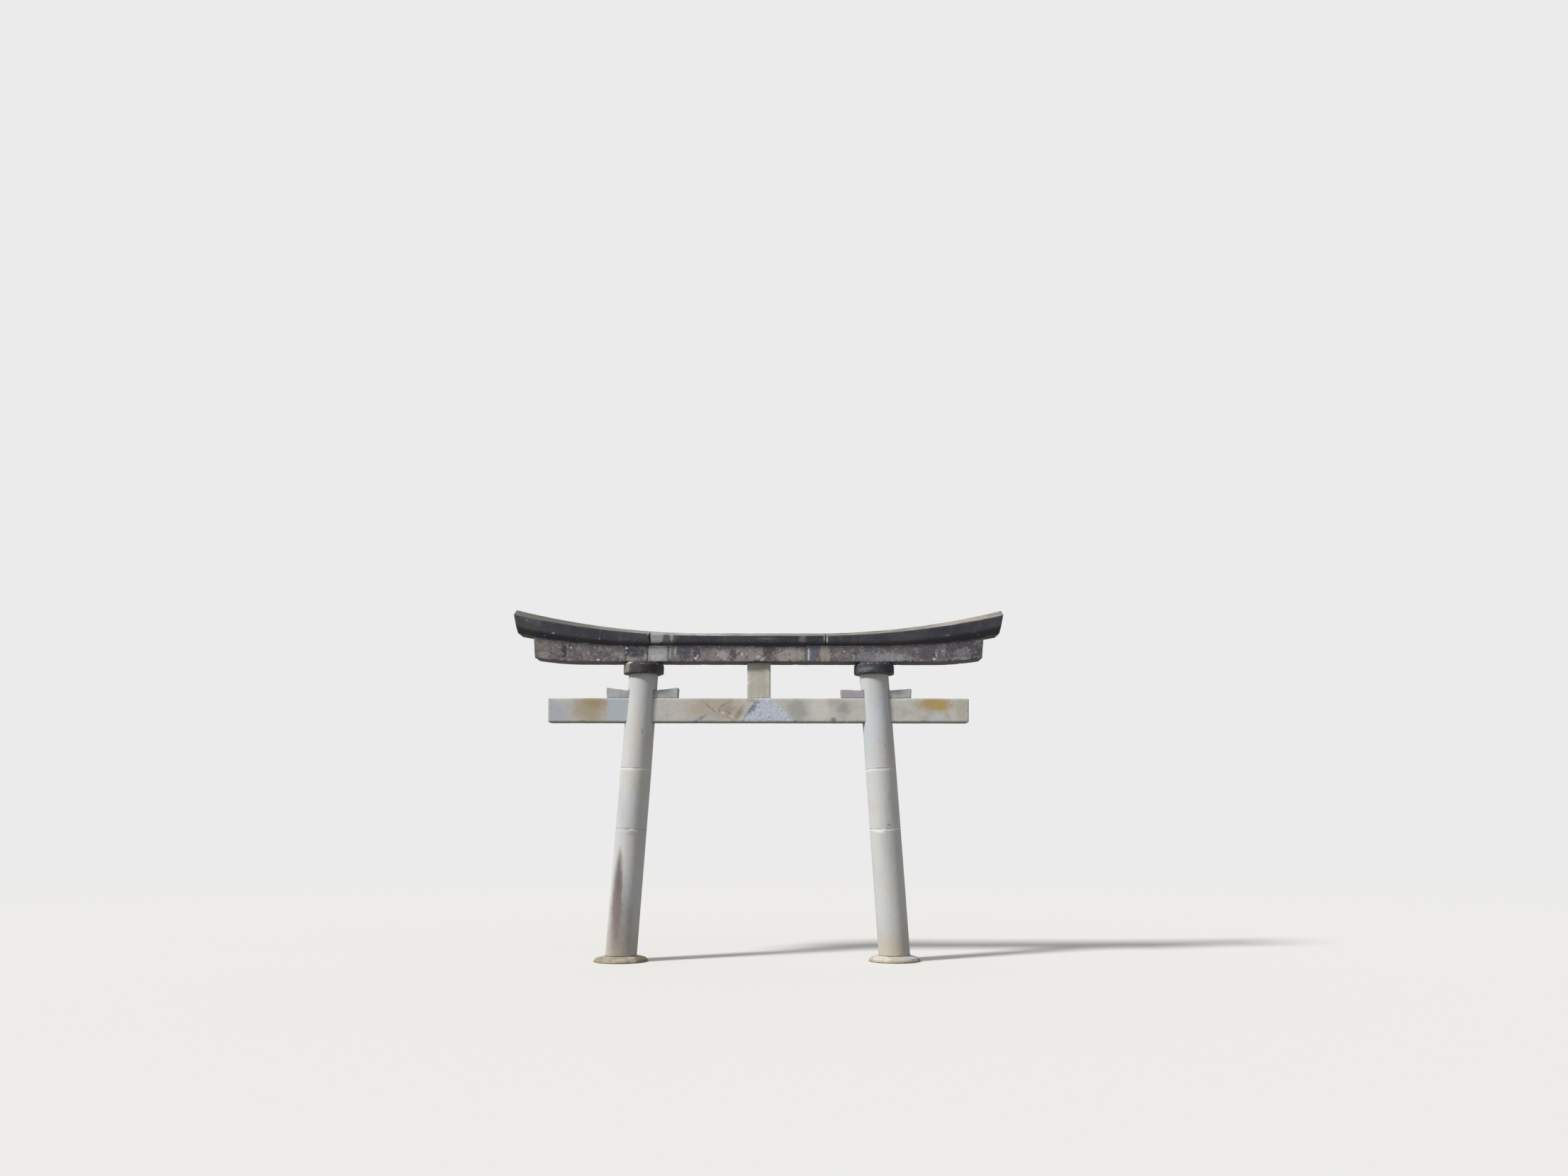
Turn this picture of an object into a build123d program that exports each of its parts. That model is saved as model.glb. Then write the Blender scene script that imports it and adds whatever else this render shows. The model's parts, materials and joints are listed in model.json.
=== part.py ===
from build123d import *

import math
import os

# A stone torii with two lintels: round columns of three drums lean towards each other on round
# base stones, a cap ring sits on each, and a straight tie beam runs through both columns and is
# held by wedges. Millimetres, +Z up, X along the beams, front towards -Y, origin on the ground
# midway between the columns.

# Base stones: radius on the ground for the left and right one, and their shared section
base_radius = {"left": 364.0, "right": 347.0}
base_height = 75.0
base_rim_height = 46.0
base_flare = 14.0
base_seat_margin = 22.0
base_rim_bevel = 11.0

# Columns: lengths of the middle and upper drum along the leaning axis, the lower one takes the rest
column_spacing = 3636.0
column_top = 3828.0
column_lean = 3.26
shaft_radius = 210.0
head_radius = 200.0
middle_drum_length = 797.0
upper_drum_length = 1308.0
mortar_bed = 8.0
mortar_recess = 2.0

# Cap rings on the columns, and the stub that locks each ring
ring_height = 157.0
ring_overhang = 80.0
ring_top_bevel = 30.0
stub_radius = 85.0
stub_clearance = 1.0

# Tie beam through the columns: how far it stands out past each column's axis, and its mortise
tie_overhang = 1281.5
tie_end_draft = 12.0
tie_height = 333.0
tie_thickness = 230.0
tie_arris = 9.0
mortise_drop = 228.0
mortise_clearance = 2.0

# Wedges over the tie beam: length that shows and height of the outer end above the beam
wedges = {
    "wedge_left_outer": ("left", "outer", 286.0, 146.0),
    "wedge_left_inner": ("left", "inner", 306.0, 148.0),
    "wedge_right_inner": ("right", "inner", 284.0, 122.0),
    "wedge_right_outer": ("right", "outer", 295.0, 136.0),
}
wedge_mouth_height = 110.0
wedge_clearance = 0.4
wedge_side_margin = 13.0
wedge_end_lean = 8.0
wedge_nose_gap = 12.0
wedge_arris = 5.0

# Centre strut between the tie beam and the lower lintel
strut_width = 325.0
strut_depth = 196.0
strut_arris = 6.0
tenon_width = 120.0
tenon_depth = 80.0
tenon_length = 45.0
tenon_clearance = 1.0

# Lower lintel, measured outwards from the head of each column, and its joints inwards from there
lower_lintel_height = 224.0
lower_lintel_depth = 350.0
lower_overhang = 1492.0
lower_end_lean = 29.0
lower_bow_start = 846.0
lower_rise = 53.0
lower_joint_insets = {"left": 74.0, "right": 949.0}

# Upper lintel, measured the same way: the underside, the roof ridge, the leaning faces, and the
# soffit that slopes from them back to the lower lintel
upper_overhang = 1740.0
upper_end_lean = 70.0
under_bow_start = -84.0
under_rise = 168.0
ridge_height = 207.0
ridge_bow_start = -854.0
ridge_rise = 328.0
roof_reach = 360.0
roof_fall_middle = 111.0
roof_fall_end = 147.0
face_lean_slope = 0.16
soffit_lip = 3.0
soffit_reach = 37.0
soffit_rise = 46.0
upper_joint_insets = {"left": 94.0, "right": 682.0}

# Open dry joint between two lintel stones
dry_joint = 3.0

# What follows from the driving dimensions
sides = {"left": -1, "right": 1}
lean = math.radians(column_lean)
axis_length = (column_top - base_height) / math.cos(lean)
head_offset = column_spacing / 2 - (column_top - base_height) * math.tan(lean)
upper_joint = axis_length - upper_drum_length
lower_joint = upper_joint - mortar_bed - middle_drum_length
mortise_top = column_top - mortise_drop
tie_top = mortise_top - wedge_mouth_height
tie_bottom = tie_top - tie_height
lower_bottom = column_top + ring_height
upper_bottom = lower_bottom + lower_lintel_height
lower_half_length = head_offset + lower_overhang
upper_half_length = head_offset + upper_overhang
under_straight = head_offset + under_bow_start
soffit_start = lower_lintel_depth / 2 + soffit_lip
face_foot = soffit_start + soffit_reach - face_lean_slope * soffit_rise

os.makedirs("parts", exist_ok=True)


def save(builder, name):
    """Label one finished piece and write it."""
    builder.part.label = name
    export_step(builder.part, f"parts/{name}.step")


def column_radius(height):
    """Radius of the column at a height along its axis: only the upper drum tapers."""
    taper = (shaft_radius - head_radius) / upper_drum_length
    return shaft_radius - taper * max(0.0, height - upper_joint)


def meridian(side):
    """Plane through a column's leaning axis: local X is the radius, local Y runs up the axis."""
    sign = sides[side]
    return Plane(
        origin=(sign * column_spacing / 2, 0, base_height),
        x_dir=(math.cos(lean), 0, sign * math.sin(lean)),
        z_dir=(0, -1, 0),
    )


def column_axis(side):
    """Axis of a leaning column."""
    plane = meridian(side)
    return Axis(plane.origin, plane.y_dir)


def axis_offset(height):
    """Distance from the middle of the gate to a column's axis at a height above the ground."""
    return column_spacing / 2 - (height - base_height) * math.tan(lean)


def turned_column(side, low, high, recess=0.0):
    """Solid of revolution along a column's axis between two heights."""
    with BuildPart() as turned:
        with BuildSketch(meridian(side)):
            Polygon(
                (0, low),
                (column_radius(low) - recess, low),
                (column_radius(high) - recess, high),
                (0, high),
                align=None,
            )
        revolve(axis=column_axis(side))
    return turned


def end_arc_radius(run, rise):
    """Radius of the arc that leaves a straight line and rises by rise over run."""
    return (run**2 + rise**2) / (2 * rise)


def bowed_height(x, base, straight, run_end, rise):
    """Height at x of a line that is straight in the middle and rises to its ends."""
    run = abs(x) - straight
    if run <= 0:
        return base
    radius = end_arc_radius(run_end - straight, rise)
    return base + radius - math.sqrt(radius**2 - run**2)


def bowed_line(base, straight, end_x, end_z):
    """Straight middle with a tangent arc rising to each end, drawn left to right."""
    rise = end_z - base
    middle_x = (straight + end_x) / 2
    middle_z = bowed_height(middle_x, base, straight, end_x, rise)
    ThreePointArc((-end_x, end_z), (-middle_x, middle_z), (-straight, base))
    Line((-straight, base), (straight, base))
    ThreePointArc((straight, base), (middle_x, middle_z), (end_x, end_z))


# Base stones: a turned slab with a sloping shoulder round the column's seat
for side, sign in sides.items():
    seat_radius = shaft_radius + base_seat_margin
    with BuildPart() as base_stone:
        with BuildSketch(Plane.XZ.move(Location((sign * column_spacing / 2, 0, 0)))) as base_section:
            with BuildLine():
                Polyline(
                    (0, 0),
                    (base_radius[side], 0),
                    (base_radius[side] - base_flare, base_rim_height),
                    (seat_radius, base_height),
                    (0, base_height),
                    close=True,
                )
            make_face()
            chamfer(base_section.vertices().sort_by(Axis.X)[-2], base_rim_bevel)
        revolve(axis=Axis((sign * column_spacing / 2, 0, 0), (0, 0, 1)))
    save(base_stone, f"{side}_base_stone")

# Columns: three drums each, with a mortar bed in both joints
end_extra = 2 * shaft_radius * math.tan(lean)
drum_heights = {
    "lower_drum": (-end_extra, lower_joint - mortar_bed),
    "middle_drum": (lower_joint, upper_joint - mortar_bed),
    "upper_drum": (upper_joint, axis_length + end_extra),
}
bed_tops = {"lower_mortar": lower_joint, "upper_mortar": upper_joint}
for side, sign in sides.items():
    for drum_name, (low, high) in drum_heights.items():
        with BuildPart() as drum:
            add(turned_column(side, low, high).part)
            split(bisect_by=Plane.XY.offset(base_height), keep=Keep.TOP)
            split(bisect_by=Plane.XY.offset(column_top), keep=Keep.BOTTOM)
            if drum_name == "upper_drum":
                # mortise for the tie beam and the wedges over it
                with BuildSketch(Plane.YZ.offset(sign * axis_offset(tie_top))):
                    with Locations((0, (tie_bottom + mortise_top) / 2)):
                        Rectangle(tie_thickness + 2 * mortise_clearance, mortise_top - tie_bottom)
                extrude(amount=2 * shaft_radius, both=True, mode=Mode.SUBTRACT)
                # stub that the cap ring drops over
                with BuildSketch(Plane.XY.offset(column_top)):
                    with Locations((sign * head_offset, 0)):
                        Circle(stub_radius)
                extrude(amount=ring_height - stub_clearance)
        save(drum, f"{side}_{drum_name}")
    for bed_name, bed_top in bed_tops.items():
        save(turned_column(side, bed_top - mortar_bed, bed_top, mortar_recess), f"{side}_{bed_name}")

# Cap rings
ring_radius = head_radius + ring_overhang
for side, sign in sides.items():
    with BuildPart() as ring:
        with BuildSketch(Plane.XY.offset(column_top)):
            with Locations((sign * head_offset, 0)):
                Circle(ring_radius)
                Circle(stub_radius + stub_clearance, mode=Mode.SUBTRACT)
        extrude(amount=ring_height)
        rims = ring.edges().filter_by(GeomType.CIRCLE).group_by(SortBy.RADIUS)[-1]
        chamfer(rims.sort_by(Axis.Z)[-1], ring_top_bevel)
    save(ring, f"{side}_cap_ring")

# Tie beam, with the strut's socket in its top
tie_half_length = axis_offset(tie_top) + tie_overhang
with BuildPart() as tie_beam:
    with BuildSketch(Plane.XZ):
        Polygon(
            (-tie_half_length, tie_top),
            (-tie_half_length + tie_end_draft, tie_bottom),
            (tie_half_length - tie_end_draft, tie_bottom),
            (tie_half_length, tie_top),
            align=None,
        )
    extrude(amount=tie_thickness / 2, both=True)
    chamfer(tie_beam.edges(), tie_arris)
    with BuildSketch(Plane.XY.offset(tie_top)):
        Rectangle(tenon_width + 2 * tenon_clearance, tenon_depth + 2 * tenon_clearance)
    extrude(amount=-(tenon_length + tenon_clearance), mode=Mode.SUBTRACT)
save(tie_beam, "tie_beam")

# Wedges: flat on the tie beam, thicker at the outer end, held under the mouth of the mortise
mouth_radius = column_radius((mortise_top - base_height) / math.cos(lean)) / math.cos(lean)
mouth_height = wedge_mouth_height - wedge_clearance
for name, (side, place, length, end_height) in wedges.items():
    sign = sides[side]
    away = sign if place == "outer" else -sign
    axis_x = sign * axis_offset(mortise_top)
    mouth_x = axis_x + away * mouth_radius
    nose_x = axis_x + away * wedge_nose_gap
    slope = (end_height - mouth_height) / length
    nose_height = mouth_height - slope * abs(mouth_x - nose_x)
    with BuildPart() as wedge:
        with BuildSketch(Plane.XZ):
            Polygon(
                (nose_x, tie_top),
                (mouth_x + away * (length - wedge_end_lean), tie_top),
                (mouth_x + away * length, tie_top + end_height),
                (nose_x, tie_top + nose_height),
                align=None,
            )
        extrude(amount=tie_thickness / 2 - wedge_side_margin, both=True)
        outer_face = wedge.faces().sort_by(Axis.X)[-1 if away > 0 else 0]
        chamfer(outer_face.edges(), wedge_arris)
    save(wedge, name)

# Centre strut with a tenon at each end
with BuildPart() as strut:
    with BuildSketch(Plane.XY.offset(tie_top)):
        Rectangle(strut_width, strut_depth)
    extrude(amount=lower_bottom - tie_top)
    chamfer(strut.edges().filter_by(Axis.Z), strut_arris)
    with BuildSketch(Plane.XY.offset(tie_top - tenon_length)):
        Rectangle(tenon_width, tenon_depth)
    extrude(amount=lower_bottom - tie_top + 2 * tenon_length)
save(strut, "centre_strut")


def lintel_stones(whole, name, insets):
    """Cut a whole lintel into its left, middle and right stones at the joints."""
    joints = {side: sign * (head_offset - insets[side]) for side, sign in sides.items()}
    bounds = {
        "left": (None, joints["left"]),
        "middle": (joints["left"], joints["right"]),
        "right": (joints["right"], None),
    }
    for place, (low, high) in bounds.items():
        with BuildPart() as stone:
            add(whole.part)
            if low is not None:
                split(bisect_by=Plane.YZ.offset(low + dry_joint / 2), keep=Keep.TOP)
            if high is not None:
                split(bisect_by=Plane.YZ.offset(high - dry_joint / 2), keep=Keep.BOTTOM)
        save(stone, f"{name}_{place}")


# Lower lintel: its top follows the underside of the upper one
lower_top_x = lower_half_length + lower_end_lean
lower_top_z = bowed_height(lower_top_x, upper_bottom, under_straight, upper_half_length, under_rise)
with BuildPart() as lower_lintel:
    with BuildSketch(Plane.XZ):
        with BuildLine():
            bowed_line(lower_bottom, head_offset + lower_bow_start, lower_half_length, lower_bottom + lower_rise)
            bowed_line(upper_bottom, under_straight, lower_top_x, lower_top_z)
            for sign in sides.values():
                Line(
                    (sign * lower_half_length, lower_bottom + lower_rise),
                    (sign * lower_top_x, lower_top_z),
                )
        make_face()
    extrude(amount=lower_lintel_depth / 2, both=True)
    with BuildSketch(Plane.XY.offset(lower_bottom)):
        Rectangle(tenon_width + 2 * tenon_clearance, tenon_depth + 2 * tenon_clearance)
    extrude(amount=tenon_length + tenon_clearance, mode=Mode.SUBTRACT)
lintel_stones(lower_lintel, "lower_lintel", lower_joint_insets)


# Upper lintel: a ruled roof from the ridge down to an eave line beyond each face, trimmed by the
# faces, which lean out at the top and grow to the ends, and cut back below them by sloping soffits
def upper_section(y, top_middle, top_end):
    """Outline of the upper lintel at one depth."""
    end_slope = upper_end_lean / (ridge_height + ridge_rise - under_rise)
    end_x = upper_half_length + end_slope * (top_end - upper_bottom - under_rise)
    with BuildSketch(Plane.XZ.offset(-y)) as section:
        with BuildLine():
            bowed_line(upper_bottom, under_straight, upper_half_length, upper_bottom + under_rise)
            bowed_line(top_middle, head_offset + ridge_bow_start, end_x, top_end)
            for sign in sides.values():
                Line((sign * upper_half_length, upper_bottom + under_rise), (sign * end_x, top_end))
        make_face()
    return section


def soffit_section(y, lift):
    """Outline of what a sloping soffit takes away at one depth, to a little past the ends."""
    end_x = upper_half_length + upper_end_lean
    end_z = bowed_height(end_x, upper_bottom, under_straight, upper_half_length, under_rise) + lift
    with BuildSketch(Plane.XZ.offset(-y)) as section:
        with BuildLine():
            bowed_line(upper_bottom + lift, under_straight, end_x, end_z)
            Polyline((-end_x, end_z), (-end_x, lower_bottom), (end_x, lower_bottom), (end_x, end_z))
        make_face()
    return section


ridge_middle_z = upper_bottom + ridge_height
ridge_end_z = ridge_middle_z + ridge_rise
with BuildPart() as upper_lintel:
    for sign in sides.values():
        eave = upper_section(sign * roof_reach, ridge_middle_z - roof_fall_middle, ridge_end_z - roof_fall_end)
        ridge = upper_section(0, ridge_middle_z, ridge_end_z)
        loft(sections=[eave.sketch.face(), ridge.sketch.face()], ruled=True)
    for sign in sides.values():
        face_plane = Plane(
            origin=(0, sign * face_foot, upper_bottom),
            x_dir=(1, 0, 0),
            z_dir=(0, sign, -face_lean_slope),
        )
        split(bisect_by=face_plane, keep=Keep.BOTTOM)
    # each cut runs on past the face, along the same slope
    for sign in sides.values():
        inner = soffit_section(sign * soffit_start, 0)
        outer = soffit_section(sign * (soffit_start + 3 * soffit_reach), 3 * soffit_rise)
        loft(sections=[inner.sketch.face(), outer.sketch.face()], ruled=True, mode=Mode.SUBTRACT)
lintel_stones(upper_lintel, "upper_lintel", upper_joint_insets)
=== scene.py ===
import json
import math

import bmesh
import bpy
import numpy as np
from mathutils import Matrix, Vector
from mathutils.bvhtree import BVHTree
from mathutils.kdtree import KDTree

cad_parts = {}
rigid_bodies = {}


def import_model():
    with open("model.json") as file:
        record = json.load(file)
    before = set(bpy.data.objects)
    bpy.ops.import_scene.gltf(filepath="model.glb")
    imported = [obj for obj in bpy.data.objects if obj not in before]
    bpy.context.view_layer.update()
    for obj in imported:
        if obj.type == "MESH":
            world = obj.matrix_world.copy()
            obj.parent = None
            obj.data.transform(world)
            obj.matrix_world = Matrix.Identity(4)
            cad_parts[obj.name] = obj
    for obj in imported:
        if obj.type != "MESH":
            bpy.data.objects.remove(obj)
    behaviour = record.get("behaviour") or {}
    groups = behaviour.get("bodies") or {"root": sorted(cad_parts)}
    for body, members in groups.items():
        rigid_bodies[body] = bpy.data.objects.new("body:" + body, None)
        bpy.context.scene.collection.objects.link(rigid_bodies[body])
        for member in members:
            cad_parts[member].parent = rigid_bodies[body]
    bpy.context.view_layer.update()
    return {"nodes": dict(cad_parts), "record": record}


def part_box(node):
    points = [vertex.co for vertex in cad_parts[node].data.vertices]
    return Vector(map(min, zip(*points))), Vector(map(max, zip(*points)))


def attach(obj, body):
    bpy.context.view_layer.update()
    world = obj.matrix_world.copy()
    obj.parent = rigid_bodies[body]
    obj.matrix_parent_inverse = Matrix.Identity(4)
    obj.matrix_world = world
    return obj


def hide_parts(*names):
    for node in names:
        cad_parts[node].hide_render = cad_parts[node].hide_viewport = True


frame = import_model()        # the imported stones, metres, +Z up, front towards -Y
cadNodes = frame["nodes"]
slotOf = {part["node"]: part["material_slot"] for part in frame["record"]["subparts"]}
sides = ("left", "right")
print("frame loaded", len(cadNodes), "stones")


def toLinear(code):
    # sRGB hex value to the linear colour that a shader takes
    channels = [int(code[place:place + 2], 16) / 255 for place in (1, 3, 5)]
    return tuple(c / 12.92 if c <= 0.04045 else ((c + 0.055) / 1.055) ** 2.4 for c in channels) + (1.0,)


def addNode(tree, kind, settings=None, links=None):
    # one node: settings are properties or unlinked inputs, links are the sockets that feed it
    node = tree.nodes.new(kind)
    for name, value in (settings or {}).items():
        if isinstance(name, str) and hasattr(node, name):
            setattr(node, name, value)
        else:
            node.inputs[name].default_value = value
    for name, socket in (links or {}).items():
        tree.links.new(socket, node.inputs[name])
    return node


# Even meshes of the stones
meshing = {
    "quickFactor": 2.2,
    "arrisAngle": 24.0,      # degrees between two faces that make an arris
    "arrisStep": 0.004,      # spacing of the points that find the nearest arris
    "arrisPull": 1.1,        # share of a voxel within which a point moves onto the arris
    "roundShare": 0.985,     # share of the radius past which a point belongs to the turned face
    "roundFacing": 0.12,     # least share by which that face looks away from the axis
    "rimShare": 0.9,         # share of the widest radius past which a corner is on a turned outline
    "footRimShare": 0.5,     # the same on a base stone, whose rim slopes
    "bedGap": 0.006,         # a face with another stone this near is bedded and keeps its shape
    "lookBack": 0.003,       # how far behind the face the look for that stone starts
    "skin": 0.0005,          # how far inside the face its thickness is measured from
    "farthest": 1.0,         # a ledge is looked for up to this far above
    "endFacing": 0.5,        # least share by which the end of a stone looks along the gate
    "deepest": 0.3,          # share of the stone's thickness that wear may take
    "crispReach": 0.012,     # near another stone the arrises stay crisp
    "crispWear": 0.0022,
    "weld": 0.00001,         # corners this near are one
    "touch": 0.002,          # faces this near to a point meet there
    "directions": 5,         # steps per axis in which their directions are told apart
    "leastSum": 0.1,         # a shorter sum of directions says nothing
    "joinedShare": 0.32,     # points nearer than this share of a voxel become one
    "sliver": 0.0012,        # triangles thinner than this are dissolved
    "flapRounds": 3,         # times that faces folded onto others are taken off
    "widestHole": 8,         # sides of the holes that are closed after that
    "stepOut": 0.006,        # how far out of a face the way up is looked along, for a ledge above it
    "scarSlope": 1.5,        # how steeply a scar falls from its border, which is at 1, to its depth
}
upwards = Vector((0, 0, 1))


class Arrises:
    # the edges where two faces of a stone meet at an angle, with the nearest place on them
    def __init__(self, shape):
        self.edges = []
        points = []
        for edge in shape.edges:
            if len(edge.link_faces) == 2 and edge.calc_face_angle() > math.radians(meshing["arrisAngle"]):
                start, end = (vert.co.copy() for vert in edge.verts)
                steps = math.ceil((end - start).length / meshing["arrisStep"])
                points += [(start.lerp(end, step / steps), len(self.edges)) for step in range(steps + 1)]
                self.edges.append((start, end))
        self.tree = KDTree(len(points))
        for point, edge in points:
            self.tree.insert(point, edge)
        self.tree.balance()

    def nearest(self, place):
        start, end = self.edges[self.tree.find(place)[1]]
        share = (place - start).dot(end - start) / (end - start).length_squared
        return start.lerp(end, min(max(share, 0), 1))


def turnedAxis(node):
    # a point on the axis of a round stone and the axis's direction, or None for a sawn one
    side = node.split("_")[0]
    if side not in sides:
        return None
    low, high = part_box(f"{side}_base_stone")
    foot = Vector(((low.x + high.x) / 2, 0, high.z))
    low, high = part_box(f"{side}_cap_ring")
    head = Vector(((low.x + high.x) / 2, 0, low.z))
    if node.endswith("base_stone"):
        return foot, Vector((0, 0, 1))
    if node.endswith("cap_ring"):
        return head, Vector((0, 0, 1))
    return foot, (head - foot).normalized()


def mergedShape(node):
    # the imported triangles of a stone, joined at their corners
    shape = bmesh.new()
    shape.from_mesh(cadNodes[node].data)
    bmesh.ops.remove_doubles(shape, verts=shape.verts, dist=meshing["weld"])
    return shape


def neighbourSurface(node):
    # the triangles of all the other stones
    corners, faces = [], []
    for other, thing in cadNodes.items():
        if other != node:
            faces += [[len(corners) + index for index in face.vertices] for face in thing.data.polygons]
            corners += [vert.co for vert in thing.data.vertices]
    return BVHTree.FromPolygons(corners, faces)


def outwardAt(surface, place):
    # the direction away from the stone where one face, or two or three of them, meet
    faces = {}
    for _, normal, _, _ in surface.find_nearest_range(place, meshing["touch"]):
        faces[tuple(round(part * meshing["directions"]) for part in normal)] = normal
    total = sum(faces.values(), Vector())
    return total.normalized() if total.length > meshing["leastSum"] else surface.find_nearest(place)[1]


def profileOf(shape, axis, node):
    # heights along the axis and radii there, of a round stone's turned face
    origin, along = axis
    rows = []
    for vert in shape.verts:
        height = (vert.co - origin).dot(along)
        rows.append((height, (vert.co - origin - height * along).length))
    widest = max(radius for _, radius in rows)
    share = meshing["footRimShare" if node.endswith("base_stone") else "rimShare"]
    outer = sorted(row for row in rows if row[1] > share * widest)
    return [row[0] for row in outer], [row[1] for row in outer]


def pullOnto(mesh, surface, arrises, turned, voxel):
    # moves each point of an even mesh onto an arris nearby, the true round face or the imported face
    for vert in mesh.vertices:
        spot, normal, _, _ = surface.find_nearest(vert.co)
        edgeSpot = arrises.nearest(spot)
        if (edgeSpot - vert.co).length < meshing["arrisPull"] * voxel:
            spot = edgeSpot
        elif turned:
            (origin, along), profile = turned
            rise = (spot - origin).dot(along)
            out = spot - origin - rise * along
            radius = float(np.interp(rise, *profile))
            looksOut = abs(out.dot(normal)) > meshing["roundFacing"] * radius
            if looksOut and out.length > meshing["roundShare"] * radius:
                spot = origin + rise * along + out * (radius / out.length)
        vert.co = spot


def mend(mesh, voxel):
    # joins points that fell together, takes off thin triangles and flaps, and closes what they leave open
    shape = bmesh.new()
    shape.from_mesh(mesh)
    bmesh.ops.remove_doubles(shape, verts=shape.verts, dist=meshing["joinedShare"] * voxel)
    bmesh.ops.triangulate(shape, faces=shape.faces)
    bmesh.ops.dissolve_degenerate(shape, edges=shape.edges, dist=meshing["sliver"])
    for _ in range(meshing["flapRounds"]):
        flaps = {face for edge in shape.edges if len(edge.link_faces) > 2 for face in edge.link_faces
                 if any(len(other.link_faces) == 1 for other in face.edges)}
        bmesh.ops.delete(shape, geom=list(flaps), context="FACES")
    openEdges = [edge for edge in shape.edges if len(edge.link_faces) == 1]
    filled = bmesh.ops.holes_fill(shape, edges=openEdges, sides=meshing["widestHole"])
    bmesh.ops.triangulate(shape, faces=filled["faces"])
    shape.to_mesh(mesh)
    shape.free()


def measure(mesh, node, surface, arrises, closing):
    # what weathering and finishes need at each point; closing is how far an end reaches into its joint
    neighbours = neighbourSurface(node)
    back = meshing["lookBack"]
    reach = back + meshing["bedGap"]
    measures = {"arrisDistance": [], "wearLimit": [], "shelterDistance": []}
    outward = []
    for vert in mesh.vertices:
        normal = surface.find_nearest(vert.co)[1]
        bedded = neighbours.ray_cast(vert.co - back * normal, normal, reach)[0]
        beside = neighbours.find_nearest(vert.co, meshing["crispReach"])[0]
        away = outwardAt(surface, vert.co)
        across = surface.ray_cast(vert.co - meshing["skin"] * away, -away)[3]
        limit = 0 if bedded else meshing["deepest"] * (across or 0)
        ledge = neighbours.ray_cast(vert.co + meshing["stepOut"] * normal, upwards, meshing["farthest"])[3]
        measures["arrisDistance"].append((arrises.nearest(vert.co) - vert.co).length)
        measures["wearLimit"].append(min(limit, meshing["crispWear"]) if beside else limit)
        measures["shelterDistance"].append(meshing["farthest"] if ledge is None else ledge)
        outward.extend(away)
        if closing and abs(away.x) > meshing["endFacing"]:
            endways = Vector((math.copysign(1, away.x), 0, 0))
            if neighbours.ray_cast(vert.co - back * endways, endways, reach)[0]:
                vert.co += closing * endways
    for name, values in measures.items():
        mesh.attributes.new(name, "FLOAT", "POINT").data.foreach_set("value", values)
    mesh.attributes.new("outward", "FLOAT_VECTOR", "POINT").data.foreach_set("vector", outward)


def evenCopy(node, voxel, closing):
    # the stone's surface as an even mesh, with its arrises kept and a turned face as round as the real one
    shape = mergedShape(node)
    surface = BVHTree.FromBMesh(shape)
    arrises = Arrises(shape)
    axis = turnedAxis(node)
    turned = (axis, profileOf(shape, axis, node)) if axis else None
    source = bpy.data.meshes.new(node + "_source")
    shape.to_mesh(source)
    shape.free()
    holder = bpy.data.objects.new(node + "_stone", source)
    scene.collection.objects.link(holder)
    remesh = holder.modifiers.new("even", "REMESH")
    remesh.mode = "VOXEL"
    remesh.voxel_size = voxel
    mesh = applied(holder)
    pullOnto(mesh, surface, arrises, turned, voxel)
    mend(mesh, voxel)
    measure(mesh, node, surface, arrises, closing)
    return holder


def applied(holder):
    # an object's modifiers made part of its mesh, and taken off
    state = bpy.context.evaluated_depsgraph_get()
    mesh = bpy.data.meshes.new_from_object(holder.evaluated_get(state), depsgraph=state)
    holder.modifiers.clear()
    holder.data = mesh
    return mesh


# Weathering: Geometry Nodes that wear the faces hollow, round the arrises and break chips off them,
# always inwards, so that no stone grows
weathering = {
    "noise": {"From Min": 0.3, "From Max": 0.7},         # the span that the noise fills
    # how much of its radius an arris keeps from place to place
    "ragged": {"From Min": 0.35, "From Max": 0.7, "To Min": 0.4, "To Max": 1.0},
    "filletShare": 0.41,     # how far under the corner a fillet's middle lies, as a share of its radius
    "chipEdge": 0.05,        # how sharply chips begin, as a share of their noise
    "roughEdge": 0.03,       # metres from its border to where a rough hewn place is at its deepest
}


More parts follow.
